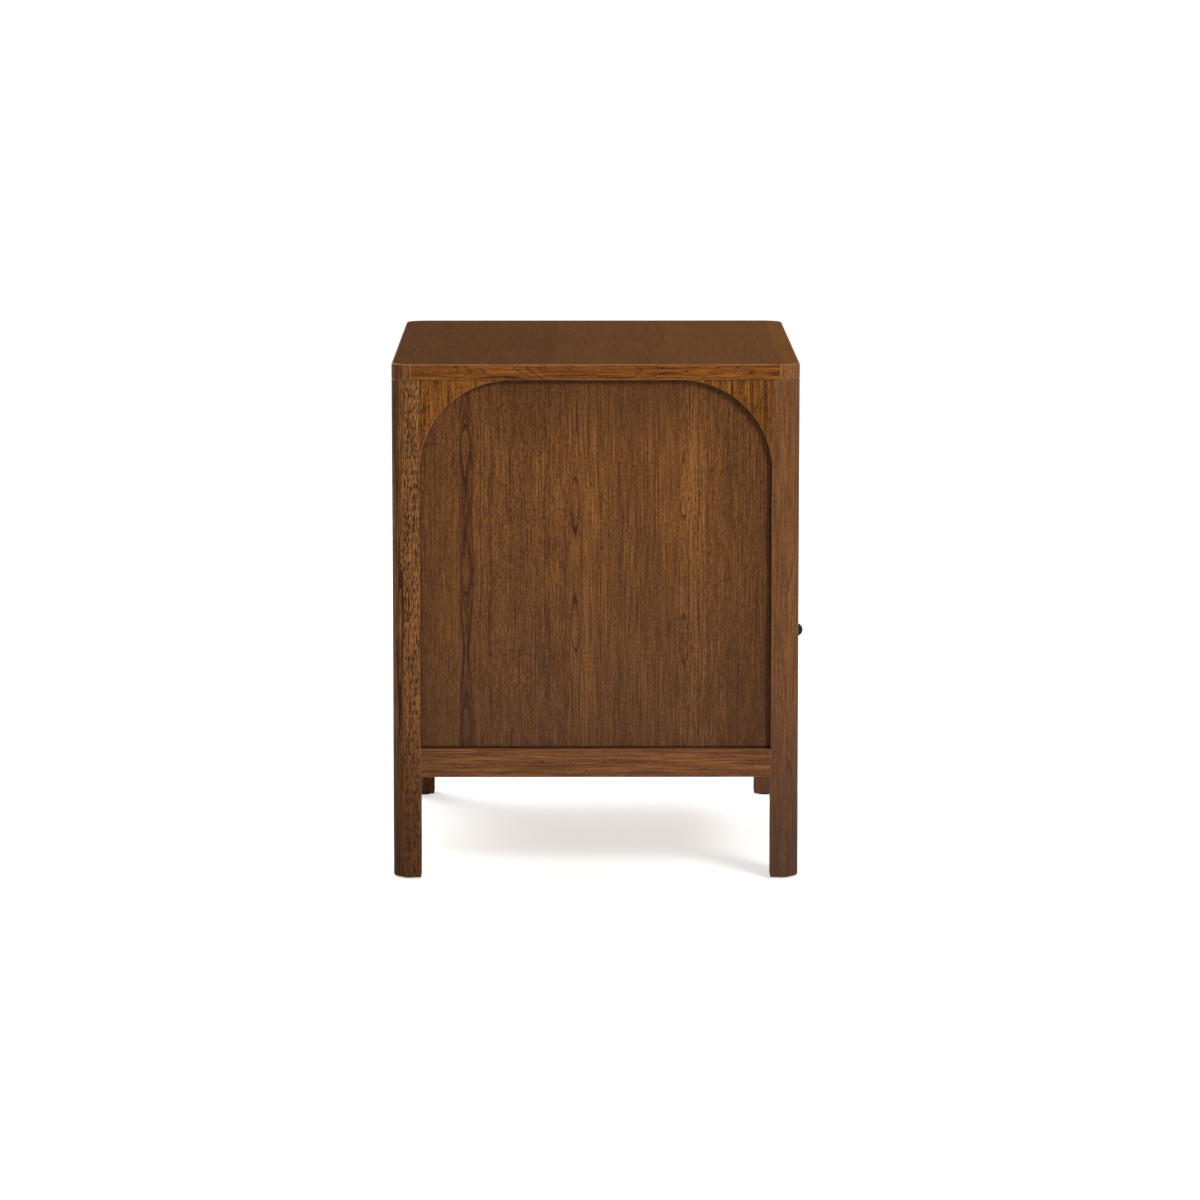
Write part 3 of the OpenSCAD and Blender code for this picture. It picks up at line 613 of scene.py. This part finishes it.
def finish_mesh(bm, name, materials):
    """The bmesh as a new object with those materials, smooth where its faces meet softly."""
    bmesh.ops.recalc_face_normals(bm, faces=bm.faces)
    mesh = bpy.data.meshes.new(name)
    bm.to_mesh(mesh)
    bm.free()
    for material in materials:
        mesh.materials.append(material)
    mesh.shade_smooth()
    mesh.set_sharp_from_angle(angle=SMOOTH)
    piece = bpy.data.objects.new(name, mesh)
    bpy.context.scene.collection.objects.link(piece)
    weighted = piece.modifiers.new("Even Faces", "WEIGHTED_NORMAL")
    weighted.keep_sharp = True
    weighted.weight = 100
    return piece


def at_axes(*pairs):
    """The point whose coordinates are given by pairs of an axis and a place along it."""
    point = Vector()
    for axis, place in pairs:
        point[axis] = place
    return point


def quarter_turn(steps):
    """Angles from 0 to a quarter turn."""
    return [k * math.pi / 2 / steps for k in range(steps + 1)]


def round_plan(low, high, radii, inset, steps):
    """Corner points of a rectangle with a round at each corner, all moved in by inset, each with
    how sharp it is."""
    points = []
    corners = ((low[0], low[1]), (high[0], low[1]), (high[0], high[1]), (low[0], high[1]))
    for index, (corner, radius) in enumerate(zip(corners, radii)):
        r = max(radius - inset, FINEST)
        sx = 1 if index in (0, 3) else -1
        sy = 1 if index in (0, 1) else -1
        middle = (corner[0] + sx * (inset + r), corner[1] + sy * (inset + r))
        start = math.pi + index * math.pi / 2
        planed = radius <= WIDE_ROUND
        count = EDGE_STEPS if planed else steps
        for k in range(count + 1):
            turn = start + k * math.pi / 2 / count
            sharp = math.sin(math.pi * k / count) if planed else 0.0
            points.append((middle[0] + r * math.cos(turn), middle[1] + r * math.sin(turn), sharp))
    return points


def end_levels(low, high, edges, steps):
    """(height, inset, sharpness) of each level of a solid whose low and high ends are rounded by
    the two edges."""
    bends = [(1 - math.sin(t), 1 - math.cos(t), math.sin(2 * t)) for t in quarter_turn(steps)]
    first = [
        (low + edges[0] * rise, edges[0] * inset, sharp) for rise, inset, sharp in reversed(bends)
    ]
    last = [(high - edges[1] * rise, edges[1] * inset, sharp) for rise, inset, sharp in bends]
    return first + last


def stack(bm, rings, edge_highlights=None):
    """Skins a list of like rings of points with faces, and closes both ends. The second list gives
    how strongly each ring's points show the painted highlight along edges, from 0 to 1."""
    layer = bm.verts.layers.float.new("edge_highlight")
    rows = [[bm.verts.new(p) for p in ring] for ring in rings]
    for row, lit_edge in zip(rows, edge_highlights or []):
        for vert, amount in zip(row, lit_edge):
            vert[layer] = amount
    for below, above in zip(rows, rows[1:]):
        for k in range(len(below)):
            n = (k + 1) % len(below)
            bm.faces.new((below[k], below[n], above[n], above[k]))
    bm.faces.new(rows[0])
    bm.faces.new(rows[-1])


def soft_block(bm, low, high, axis, radii, edges, steps=EDGE_STEPS, corner_steps=20):
    """A block whose plan across axis has rounds at its corners, and whose ends are rounded by
    edges."""
    u, v = [k for k in range(3) if k != axis]
    rings = []
    edge_highlights = []
    for height, inset, end_sharp in end_levels(low[axis], high[axis], edges, steps):
        plan = round_plan((low[u], low[v]), (high[u], high[v]), radii, inset, corner_steps)
        rings.append([at_axes((u, a), (v, b), (axis, height)) for a, b, _ in plan])
        edge_highlights.append([max(sharp, end_sharp) for _, _, sharp in plan])
    stack(bm, rings, edge_highlights)


def board(name, node, axis, material, slot, radii=None, edges=None, body="carcase"):
    """A piece of wood with softened edges in a node's place, with its grain along axis."""
    arris = bpy.context.scene.nightstand_shape.arris
    low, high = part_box(node)
    bm = bmesh.new()
    soft_block(bm, low, high, axis, radii or [arris] * 4, edges or [arris] * 2)
    settle(finish_mesh(bm, name, [material]), node, body)


def softened(name, node, material, width, body="carcase"):
    """A node's own shape with its edges rounded by width."""
    bm = bmesh.new()
    bm.from_mesh(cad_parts[node].data)
    bmesh.ops.remove_doubles(bm, verts=bm.verts, dist=ONE_POINT)
    bmesh.ops.dissolve_limit(bm, angle_limit=ONE_FACE, verts=bm.verts, edges=bm.edges)
    bm.normal_update()
    joined = [e for e in bm.edges if len(e.link_faces) == 2]
    hard = [e for e in joined if e.calc_face_angle(0.0) > HARD_EDGE]
    bmesh.ops.bevel(
        bm, geom=hard, offset=width, segments=2, profile=0.5, affect="EDGES", clamp_overlap=True
    )
    settle(finish_mesh(bm, name, [material]), node, body)


def settle(piece, node, body):
    """Makes a finished piece ride on its body in a node's place."""
    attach(piece, body)
    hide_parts(node)


def dress(node, material):
    """Gives a node that keeps its own shape a material."""
    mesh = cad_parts[node].data
    mesh.materials.clear()
    mesh.materials.append(material)


def turned(bm, profile, place):
    """A shape turned about the Y axis through place. profile is a list of (distance forward,
    radius)."""
    turns = [2 * math.pi * k / LATHE_STEPS for k in range(LATHE_STEPS)]
    rings = []
    for ahead, r in profile:
        rings.append([place + Vector((r * math.cos(a), -ahead, r * math.sin(a))) for a in turns])
    stack(bm, rings)


class NIGHTSTAND_OT_stage(bpy.types.Operator):
    """Lay the pale floor, hang the soft lights and set up the camera"""

    bl_idname = "nightstand.stage"
    bl_label = "Stage"

    def execute(self, context):
        look = context.scene.nightstand_stage
        self.floor(look)
        self.sky(context.scene, look)
        self.lamp(
            "key_light", look.key, size=1.6, place=Vector((-3.8, -2.3, 2.9)),
            target=Vector((0, 0, 0.35))
        )
        self.lamp(
            "fill_light", look.fill, size=2.4, place=Vector((2.8, 1.9, 2.4)),
            target=Vector((0, 0, 0.3))
        )
        self.camera(context.scene, look)
        context.scene.view_settings.view_transform = "Standard"
        return {"FINISHED"}

    def seen(self, s):
        """1 for rays from the camera, off metal or through glass, and 0 for the rest."""
        ray = s.add("LightPath").outputs
        kinds = s.math("ADD", ray["Is Camera Ray"], ray["Is Glossy Ray"])
        return s.math("ADD", kinds, ray["Is Transmission Ray"], clamp=True)

    def floor(self, look):
        bm = bmesh.new()
        bmesh.ops.create_circle(bm, cap_ends=True, segments=96, radius=60.0)
        mesh = bpy.data.meshes.new("floor")
        bm.to_mesh(mesh)
        bm.free()
        floor = bpy.data.objects.new("floor", mesh)
        bpy.context.scene.collection.objects.link(floor)
        material, s, shader = principled("pale_floor", 0.9, Specular_IOR_Level=0.0)
        shader.inputs["Base Color"].default_value = (*look.floor, 1.0)
        shader.inputs["Emission Color"].default_value = (1, 1, 1, 1)
        lift = s.ramp(s.vector("LENGTH", s.here()), 0.7, 3.0, look.floor_lift, look.floor_far)
        s.plug(shader.inputs["Emission Strength"], s.math("MULTIPLY", self.seen(s), lift))
        mesh.materials.append(material)

    def sky(self, scene, look):
        world = bpy.data.worlds.new("studio")
        scene.world = world
        world.use_nodes = True
        s = Sockets(world.node_tree)
        background = world.node_tree.nodes["Background"]
        background.inputs["Color"].default_value = (1, 1, 1, 1)
        strength = s.add("MapRange", self.seen(s), 0.0, 1.0, look.sky, 1.0).outputs[0]
        s.plug(background.inputs["Strength"], strength)

    def lamp(self, name, power, size, place, target):
        light = bpy.data.lights.new(name, "AREA")
        light.energy = power
        light.shape = "DISK"
        light.size = size
        self.hang(bpy.data.objects.new(name, light), place, target - place)

    def camera(self, scene, look):
        camera = bpy.data.objects.new("camera", bpy.data.cameras.new("camera"))
        camera.data.lens = look.lens
        camera.data.clip_end = 200
        level = math.cos(look.camera_tilt)
        turn = look.camera_turn
        ahead = (math.cos(turn) * level, -math.sin(turn) * level, -math.sin(look.camera_tilt))
        self.hang(camera, look.camera_place, Vector(ahead))
        scene.camera = camera

    def hang(self, thing, place, ahead):
        """Puts a lamp or a camera in the scene at place, facing ahead."""
        thing.location = place
        thing.rotation_mode = "QUATERNION"
        thing.rotation_quaternion = ahead.to_track_quat("-Z", "Y")
        bpy.context.scene.collection.objects.link(thing)


class NIGHTSTAND_OT_top(bpy.types.Operator):
    """Make the top: a veneered board between solid lippings, with round corners and soft edges"""

    bl_idname = "nightstand.top"
    bl_label = "Top"

    def execute(self, context):
        shape = context.scene.nightstand_shape
        low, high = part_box("top")
        middle = (low + high) / 2
        # The veneer's boards get darker one by one towards the back: painted light, standing in for
        # the front of the top catching more light.
        # The heart of the veneer's tree is well below the board and in front of it
        veneer = oak(
            "top_veneer", Vector((50 * MM, low.y - 90 * MM, high.z - 90 * MM)), X_AXIS, Y_AXIS,
            tint=(1.0, 1.0, 0.86), coat=0.03, Board_Width=132.0, Board_Start=20.0,
            Board_Shift=-132.0, Scatter=20.0, Seed=3.1, Rings=0.10, Streaks=0.10, Wander=2.0,
            Sway=2.0, Pores=0.2, Flecks=0.2, Tone=0.16, Bands=0.12, Shade=0.475, Shade_Step=-0.062
        )
        lipping = dict(
            tint=(1.05, 0.87, 0.5), Ring_Width=2.3, Sway=9.0, Wander=17.0, Rings=0.44,
            Streaks=0.36, Flecks=0.6, Pores=0.7, Pore_Size=1.2, Shade=0.53
        )
        lips = []
        for index, (x, seed) in enumerate(((low.x, 5.3), (high.x, 8.9))):
            heart = Vector((x - 4 * MM, middle.y + 60 * MM, middle.z + 3 * MM))
            lips.append(oak(
                f"lip_side_{index}", heart, Y_AXIS, Z_AXIS, Sway_Length=210.0, Seed=seed, **lipping
            ))
        for index, (y, seed) in enumerate(((low.y, 11.7), (high.y, 14.2))):
            heart = Vector((middle.x - 100 * MM, y - 6 * MM, middle.z + 2 * MM))
            lips.append(oak(
                f"lip_end_{index}", heart, X_AXIS, Z_AXIS, Sway_Length=230.0, Seed=seed, **lipping
            ))
        # The corner pieces are end grain; their paler, greyer colour is partly that and partly a
        # painted sheen of the round corners.
        corners = oak(
            "lip_corners", Vector((low.x - 30 * MM, low.y - 50 * MM, middle.z)), Z_AXIS, Y_AXIS,
            tint=(1.0, 1.0, 1.2), Seed=17.7, Rings=0.2, Streaks=0.4, Pores=0.5, Shade=0.545
        )
        bm = bmesh.new()
        radius = shape.corner_radius
        soft_block(bm, low, high, 2, [radius] * 4, [shape.top_edge] * 2, steps=6, corner_steps=28)
        flat = high - middle - Vector((radius, radius, 0))
        for face in bm.faces:
            off = face.calc_center_median() - middle
            face.material_index = self.wood_at(face, off, flat)
        piece = finish_mesh(bm, "top_board", [veneer, *lips, corners])
        settle(piece, "top", "carcase")
        return {"FINISHED"}

    def wood_at(self, face, off, flat):
        """Which wood a face shows. flat is how far the straight edges reach from the middle."""
        veneer, left, right, front, back, corner = range(6)
        if len(face.verts) > 4:
            return veneer
        if abs(off.x) > flat.x and abs(off.y) > flat.y:
            return corner
        if abs(off.x) > flat.x:
            return left if off.x < 0 else right
        return front if off.y < 0 else back


class NIGHTSTAND_OT_legs(bpy.types.Operator):
    """Make the four legs, each with one round outer corner"""

    bl_idname = "nightstand.legs"
    bl_label = "Legs"

    def execute(self, context):
        shape = context.scene.nightstand_shape
        front = dict(
            tint=(1.0, 1.04, 1.2), Rings=0.26, Streaks=0.26, Flecks=0.7, Pores=0.4, Tone=0.25,
            Bands=0.15, Shade=0.51, Shade_Step=-0.04
        )
        back = dict(
            foot_stain=context.scene.nightstand_oak.dark, Rings=0.36, Heart=2.4, Streaks=0.62,
            Flecks=0.7, Pores=3.0, Pore_Step=2.1, Pore_Size=0.8, Pore_Length=11.0, Pore_Fill=0.39,
            Pore_Scatter=0.75, Tone=0.3, Bands=0.3, Shade=0.81, Shade_Step=0.36
        )
        # Each leg's node, its round corner, the side and end it stands at, its seed, how dark its
        # foot is and its grain
        legs = (
            ("leg_front_left", 0, -1, -1, 23.3, 0.6, front),
            ("leg_back_left", 3, -1, 1, 29.9, 0.72, back),
            ("leg_front_right", 1, 1, -1, 26.6, 0.35, front),
            ("leg_back_right", 2, 1, 1, 33.2, 0.5, back),
        )
        # The outer strip of each leg is cut near its tree's heart, and the strip glued to it is
        # cut far from it. These are the strip's width, and how far the joint is from the heart.
        strip = 14.0
        joint = 38.0
        for node, corner, side, end, seed, foot, grain in legs:
            low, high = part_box(node)
            outer_x = low.x if side < 0 else high.x
            outer_y = low.y if end < 0 else high.y
            heart = Vector(
                (outer_x + side * 4 * MM, outer_y + end * (joint - strip) * MM, 350 * MM)
            )
            material = oak(
                node, heart, Z_AXIS, Vector((0, -end, 0)), foot=foot, Board_Width=33.0,
                Board_Start=-joint, Board_Shift=31.0, Scatter=4.0, Seed=seed, Ring_Width=4.0,
                Sway=7.0, Sway_Length=520.0, Wander=6.0, **grain
            )
            radii = [shape.arris] * 4
            radii[corner] = shape.corner_radius
            board(f"{node}_post", node, 2, material, "frame_oak", radii=radii)
        return {"FINISHED"}


class NIGHTSTAND_OT_rails(bpy.types.Operator):
    """Make the four low rails and the rail between the drawer and the niche"""

    bl_idname = "nightstand.rails"
    bl_label = "Rails"

    def execute(self, context):
        nodes = ("rail_left", "rail_right", "rail_front", "rail_back", "divider_rail")
        for index, node in enumerate(nodes):
            low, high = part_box(node)
            centre = (low + high) / 2
            run = 1 if high.y - low.y > high.x - low.x else 0
            deep = 1 - run
            outside = at_axes((deep, math.copysign(20 * MM, centre[deep])))
            material = oak(
                node, centre + outside + Vector((0, 0, -14 * MM)), Y_AXIS if run else X_AXIS,
                Z_AXIS, tint=(1.0, 0.99, 1.2), Seed=41.0 + 5.7 * index, Ring_Width=3.3, Sway=5.0,
                Sway_Length=700.0, Rings=0.26, Streaks=0.34, Flecks=0.6, Pores=0.7, Pore_Size=1.1,
                Shade=0.56
            )
            board(f"{node}_bar", node, run, material, "rail_oak")
        return {"FINISHED"}


class NIGHTSTAND_OT_arches(bpy.types.Operator):
    """Make the eight arched corner blocks under the top"""

    bl_idname = "nightstand.arches"
    bl_label = "Arched Corners"

    def execute(self, context):
        for index, node in enumerate(sorted(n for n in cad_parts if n.startswith("arch_"))):
            self.block(node, 70.0 + 4.1 * index, context.scene.nightstand_shape)
        return {"FINISHED"}

    def block(self, node, seed, shape):
        low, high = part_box(node)
        centre = (low + high) / 2
        run = 1 if high.x - low.x < high.y - low.y else 0
        deep = 1 - run
        # The square corner is at the leg, on the side away from the middle of the face
        side = 1 if centre[run] > 0 else -1
        corner = high[run] if side > 0 else low[run]
        outward = 1 if centre[deep] > 0 else -1
        face = high[deep] if outward > 0 else low[deep]
        thick = high[deep] - low[deep]
        reach = high.z - low.z
        r = shape.arch_radius
        tip = r - math.sqrt(r * r - (r - reach) ** 2)
        rings = []
        edge_highlights = []
        for depth, grow, sharp in self.levels(thick, shape.arch_arris, shape.arris):
            outline = self.outline(r, r + grow, tip)
            rings.append([
                at_axes((run, corner - side * a), (deep, face - outward * depth), (2, high.z - b))
                for a, b in outline
            ])
            # Only the arched edge gets the painted highlight: the other two are in joints
            edge_highlights.append([0.0, 0.0] + [sharp] * (len(outline) - 3) + [0.0])
        bm = bmesh.new()
        stack(bm, rings, edge_highlights)
        heart = at_axes(
            (run, corner + side * 45 * MM), (deep, face + outward * 30 * MM), (2, high.z + 100 * MM)
        )
        material = oak(
            node, heart, Z_AXIS, Y_AXIS if run else X_AXIS, tint=(1.05, 0.94, 0.52), Seed=seed,
            Sway=6.0, Sway_Length=400.0, Wander=6.0, Rings=0.46, Streaks=0.48, Flecks=1.0,
            Bands=0.6, Tone=0.4, Pores=0.9, Pore_Size=1.3, Shade=0.475
        )
        settle(finish_mesh(bm, f"{node}_block", [material]), node, "carcase")

    def levels(self, thick, front, back):
        """(depth, extra radius, sharpness) of each level from the front face to the back one."""
        bends = [
            (1 - math.cos(t), 1 - math.sin(t), math.sin(2 * t))
            for t in quarter_turn(ARCH_EDGE_STEPS)
        ]
        first = [(front * near, front * far, sharp) for near, far, sharp in bends]
        last = [(thick - back * far, back * near, 0.0) for near, far, _ in bends]
        return first + last

    def outline(self, r, radius, tip):
        """The block's face: a square corner less a round of radius about (r, r)."""
        reach = r - math.sqrt(radius * radius - (r - tip) ** 2)
        start = math.atan2(tip - r, reach - r)
        end = math.atan2(reach - r, tip - r)
        arc = [start + (end - start) * k / ARC_STEPS for k in range(ARC_STEPS + 1)]
        points = [(0.0, 0.0), (reach, 0.0)]
        points += [(r + radius * math.cos(t), r + radius * math.sin(t)) for t in arc]
        return points + [(0.0, reach)]


class NIGHTSTAND_OT_panels(bpy.types.Operator):
    """Make the side panels and the back panel, veneered in upright leaves"""

    bl_idname = "nightstand.panels"
    bl_label = "Panels"

    def execute(self, context):
        shape = context.scene.nightstand_shape
        panels = (("side_panel_left", 101.0), ("side_panel_right", 113.0), ("back_panel", 127.0))
        for node, seed in panels:
            low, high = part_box(node)
            run = 0 if node == "back_panel" else 1
            deep = 1 - run
            outward = 1 if low[deep] + high[deep] > 0 else -1
            face = high[deep] if outward > 0 else low[deep]
            # The heart is 5 mm from its leaf's edge, and comes through the face at this height
            aside = 155 * MM if run else -155 * MM
            heart = at_axes((run, aside), (deep, face), (2, 506 * MM))
            material = oak(
                node, heart, Z_AXIS, -Y_AXIS if run else X_AXIS, tint=(1.0, 0.99, 0.92), foot=0.50,
                foot_top=0.5, opening=self.opening(run, shape.arch_radius), Board_Width=129.0,
                Board_Start=5.0, Board_Shift=-129.0, Scatter=6.0, Seed=seed, Ring_Width=4.2,
                Sway=7.5, Sway_Length=330.0, Wander=2.5, Rings=0.24, Heart=3.3, Streaks=0.32,
                Flecks=1.15, Pores=0.6, Pore_Size=1.15, Tone=0.3, Bands=0.15, Shade=0.53
            )
            self.panel(node, low, high, run, outward, face, shape, material)
        return {"FINISHED"}

    def opening(self, run, radius):
        """The arched outline that legs, top and corner blocks leave of a panel along run."""
        first, last = "leg_back_left", "leg_back_right"
        if run:
            first, last = "leg_front_left", "leg_back_left"
        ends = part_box(first)[1][run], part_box(last)[0][run]
        return run, sum(ends) / 2, (ends[1] - ends[0]) / 2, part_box("top")[0].z, radius

    def panel(self, node, low, high, run, outward, face, shape, material):
        """A board with a narrow step at its foot, where it stands behind the rail."""
        deep = 1 - run
        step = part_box("rail_left")[1].z + shape.panel_quirk
        back = low[deep] if outward > 0 else high[deep]
        sunk = face - outward * shape.quirk_depth
        section = (
            (back, low.z), (sunk, low.z), (sunk, step), (face, step), (face, high.z), (back, high.z)
        )
        ends = (low[run], high[run])
        rings = [[at_axes((run, end), (deep, d), (2, z)) for d, z in section] for end in ends]
        bm = bmesh.new()
        stack(bm, rings)
        settle(finish_mesh(bm, f"{node}_board", [material]), node, "carcase")


class NIGHTSTAND_OT_shelves(bpy.types.Operator):
    """Make the niche's floor, and the board that closes the bottom"""

    bl_idname = "nightstand.shelves"
    bl_label = "Niche Floor and Bottom Board"

    def execute(self, context):
        heart = Vector((-200 * MM, -300 * MM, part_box("niche_floor")[1].z + 20 * MM))
        veneer = oak(
            "niche_floor", heart, X_AXIS, Y_AXIS, coat=0.06, Board_Width=128.0, Board_Start=30.0,
            Board_Shift=-128.0, Scatter=24.0, Seed=151.0, Rings=0.2, Streaks=0.36
        )
        softened("niche_floor_board", "niche_floor", veneer, 0.4 * MM)
        birch = plywood("birch_bottom_board", "bottom_board", 7)
        softened("bottom_board_sheet", "bottom_board", birch, 0.3 * MM)
        return {"FINISHED"}


class NIGHTSTAND_OT_joinery(bpy.types.Operator):
    """Make the cleats under the top and the spacers behind the slides, and finish the dowels in
    beech
    """

    bl_idname = "nightstand.joinery"
    bl_label = "Cleats, Spacers and Dowels"

    def execute(self, context):
        beech = context.scene.nightstand_fittings.beech
        bars = ("top_cleat_left", "top_cleat_right", "slide_spacer_left", "slide_spacer_right")
        for index, node in enumerate(bars):
            seed = 201.0 + 7 * index
            material = pale_wood(f"beech_{node}", node, beech, Y_AXIS, Z_AXIS, Seed=seed)
            softened(f"{node}_bar", node, material, 0.5 * MM)
        for node, along in (("rail_dowels", X_AXIS), ("top_dowels", Z_AXIS)):
            dress(node, pale_wood(f"beech_{node}", node, beech, along, Y_AXIS, Seed=231.0))
        return {"FINISHED"}


class NIGHTSTAND_OT_drawer_front(bpy.types.Operator):
    """Make the drawer front"""

    bl_idname = "nightstand.drawer_front"
    bl_label = "Drawer Front"

    def execute(self, context):
        low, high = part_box("drawer_front")
        veneer = oak(
            "drawer_front", Vector((-100 * MM, low.y, low.z + 60 * MM)), X_AXIS, Z_AXIS,
            Board_Width=129.0, Board_Start=60.0, Board_Shift=-129.0, Seed=171.0, Sway=22.0,
            Wander=6.0, Streaks=0.38, Pores=0.65, Tone=0.3, Bands=0.2, Shade=0.52
        )
        edge = 1.2 * MM
        hidden_edge = 0.5 * MM
        board(
            "drawer_front_board", "drawer_front", 0, veneer, "veneer_oak", body="drawer",
            radii=[edge, hidden_edge, hidden_edge, edge], edges=[edge, edge]
        )
        return {"FINISHED"}


class NIGHTSTAND_OT_drawer_box(bpy.types.Operator):
    """Make the dovetailed drawer box and its bottom"""

    bl_idname = "nightstand.drawer_box"
    bl_label = "Drawer Box"

    def execute(self, context):
        maple = context.scene.nightstand_fittings.maple
        sides = (
            ("box_front", X_AXIS), ("box_back", X_AXIS),
            ("box_side_left", Y_AXIS), ("box_side_right", Y_AXIS),
        )
        for index, (node, along) in enumerate(sides):
            material = pale_wood(
                f"maple_{node}", node, maple, along, Z_AXIS, coat=0.2, Seed=301.0 + 11 * index
            )
            softened(f"{node}_board", node, material, 0.4 * MM, "drawer")
        birch = plywood("birch_drawer_bottom", "drawer_bottom", 5)
        softened("drawer_bottom_sheet", "drawer_bottom", birch, 0.3 * MM, "drawer")
        return {"FINISHED"}


class NIGHTSTAND_OT_slides(bpy.types.Operator):
    """Finish the drawer slides and their ball cages in steel and brass"""

    bl_idname = "nightstand.slides"
    bl_label = "Drawer Slides"

    def execute(self, context):
        look = context.scene.nightstand_fittings
        zinc = metal("zinc_steel", look.zinc, 0.3, run=(1, 6, 1))
        brass = metal("brass_cage", look.brass, 0.28)
        for side in ("left", "right"):
            middle = f"slide_middle_{side}"
            members = (
                (f"slide_outer_{side}", "carcase"), (middle, middle),
                (f"slide_inner_{side}", "drawer"),
            )
            for node, body in members:
                softened(f"{node}_channel", node, zinc, 0.2 * MM, body)
            dress(f"ball_cage_outer_{side}", brass)
            dress(f"ball_cage_inner_{side}", brass)
        return {"FINISHED"}


class NIGHTSTAND_OT_screws(bpy.types.Operator):
    """Finish the screws in zinc-plated steel"""

    bl_idname = "nightstand.screws"
    bl_label = "Screws"

    def execute(self, context):
        steel = metal("screw_plate", context.scene.nightstand_fittings.zinc, 0.34)
        for node in sorted(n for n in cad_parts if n.endswith(("_screws", "knob_screw"))):
            dress(node, steel)
        return {"FINISHED"}


class NIGHTSTAND_OT_knob(bpy.types.Operator):
    """Turn the dark bronze knob"""

    bl_idname = "nightstand.knob"
    bl_label = "Knob"

    def execute(self, context):
        low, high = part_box("knob")
        back = Vector(((low.x + high.x) / 2, high.y, (low.z + high.z) / 2))
        ball = (high.x - low.x) / 2
        centre = high.y - low.y - ball
        # The foot, as distances from the drawer front and radii in millimetres
        foot = ((0.0, 0.02), (0.0, 5.7), (0.3, 6.0), (2.2, 6.0), (2.7, 5.75), (3.0, 5.2))
        profile = [(ahead * MM, radius * MM) for ahead, radius in foot]
        # The neck sweeps out of the foot and into the ball
        neck = 3.75 * MM
        for turn in quarter_turn(8)[1:]:
            ahead = 3.0 * MM + 1.4 * MM * (1 - math.cos(turn))
            profile.append((ahead, neck + 1.3 * MM * (1 - math.sin(turn))))
        start = math.asin(min(1.0, neck / ball))
        steps = 40
        for k in range(steps + 1):
            turn = start + (math.pi - start) * k / steps
            profile.append((centre - ball * math.cos(turn), max(ball * math.sin(turn), FINEST)))
        bm = bmesh.new()
        turned(bm, profile, back)
        bronze = metal(
            "dark_bronze", context.scene.nightstand_fittings.bronze, 0.32, metallic=0.5,
            mottle=0.3, Specular_IOR_Level=0.12, Coat_Weight=0.05, Coat_Roughness=0.12
        )
        settle(finish_mesh(bm, "knob_turned", [bronze]), "knob", "drawer")
        return {"FINISHED"}


class NIGHTSTAND_OT_glides(bpy.types.Operator):
    """Finish the felt glides under the legs"""

    bl_idname = "nightstand.glides"
    bl_label = "Floor Glides"

    def execute(self, context):
        grey = felt("pressed_felt", context.scene.nightstand_fittings.felt)
        softened("floor_glide_pads", "floor_glides", grey, 0.4 * MM)
        return {"FINISHED"}


class NIGHTSTAND_PT_sidebar(bpy.types.Panel):
    """Lists the nightstand's pieces and their settings"""

    bl_idname = "NIGHTSTAND_PT_sidebar"
    bl_label = "Arched Nightstand"
    bl_space_type = "VIEW_3D"
    bl_region_type = "UI"
    bl_category = "Nightstand"

    def draw(self, context):
        for operator in OPERATORS:
            self.layout.operator(operator.bl_idname)
        for name in GROUPS:
            settings = getattr(context.scene, name)
            box = self.layout.box()
            for key in settings.__annotations__:
                box.prop(settings, key)


OPERATORS = (
    NIGHTSTAND_OT_stage,
    NIGHTSTAND_OT_top,
    NIGHTSTAND_OT_legs,
    NIGHTSTAND_OT_rails,
    NIGHTSTAND_OT_arches,
    NIGHTSTAND_OT_panels,
    NIGHTSTAND_OT_shelves,
    NIGHTSTAND_OT_joinery,
    NIGHTSTAND_OT_drawer_front,
    NIGHTSTAND_OT_drawer_box,
    NIGHTSTAND_OT_slides,
    NIGHTSTAND_OT_screws,
    NIGHTSTAND_OT_knob,
    NIGHTSTAND_OT_glides,
)
GROUPS = {
    "nightstand_shape": NIGHTSTAND_PG_shape,
    "nightstand_oak": NIGHTSTAND_PG_oak,
    "nightstand_fittings": NIGHTSTAND_PG_fittings,
    "nightstand_stage": NIGHTSTAND_PG_stage,
}
CLASSES = (*GROUPS.values(), *OPERATORS, NIGHTSTAND_PT_sidebar)


def register():
    for cls in CLASSES:
        bpy.utils.register_class(cls)
    for name, group in GROUPS.items():
        setattr(bpy.types.Scene, name, PointerProperty(type=group))


def unregister():
    for name in GROUPS:
        delattr(bpy.types.Scene, name)
    for cls in reversed(CLASSES):
        bpy.utils.unregister_class(cls)


def main():
    register()
    bpy.ops.nightstand.stage()
    bpy.ops.nightstand.top()
    bpy.ops.nightstand.legs()
    bpy.ops.nightstand.rails()
    bpy.ops.nightstand.arches()
    bpy.ops.nightstand.panels()
    bpy.ops.nightstand.shelves()
    bpy.ops.nightstand.joinery()
    bpy.ops.nightstand.drawer_front()
    bpy.ops.nightstand.drawer_box()
    bpy.ops.nightstand.slides()
    bpy.ops.nightstand.screws()
    bpy.ops.nightstand.knob()
    bpy.ops.nightstand.glides()


if __name__ == "__main__":
    main()
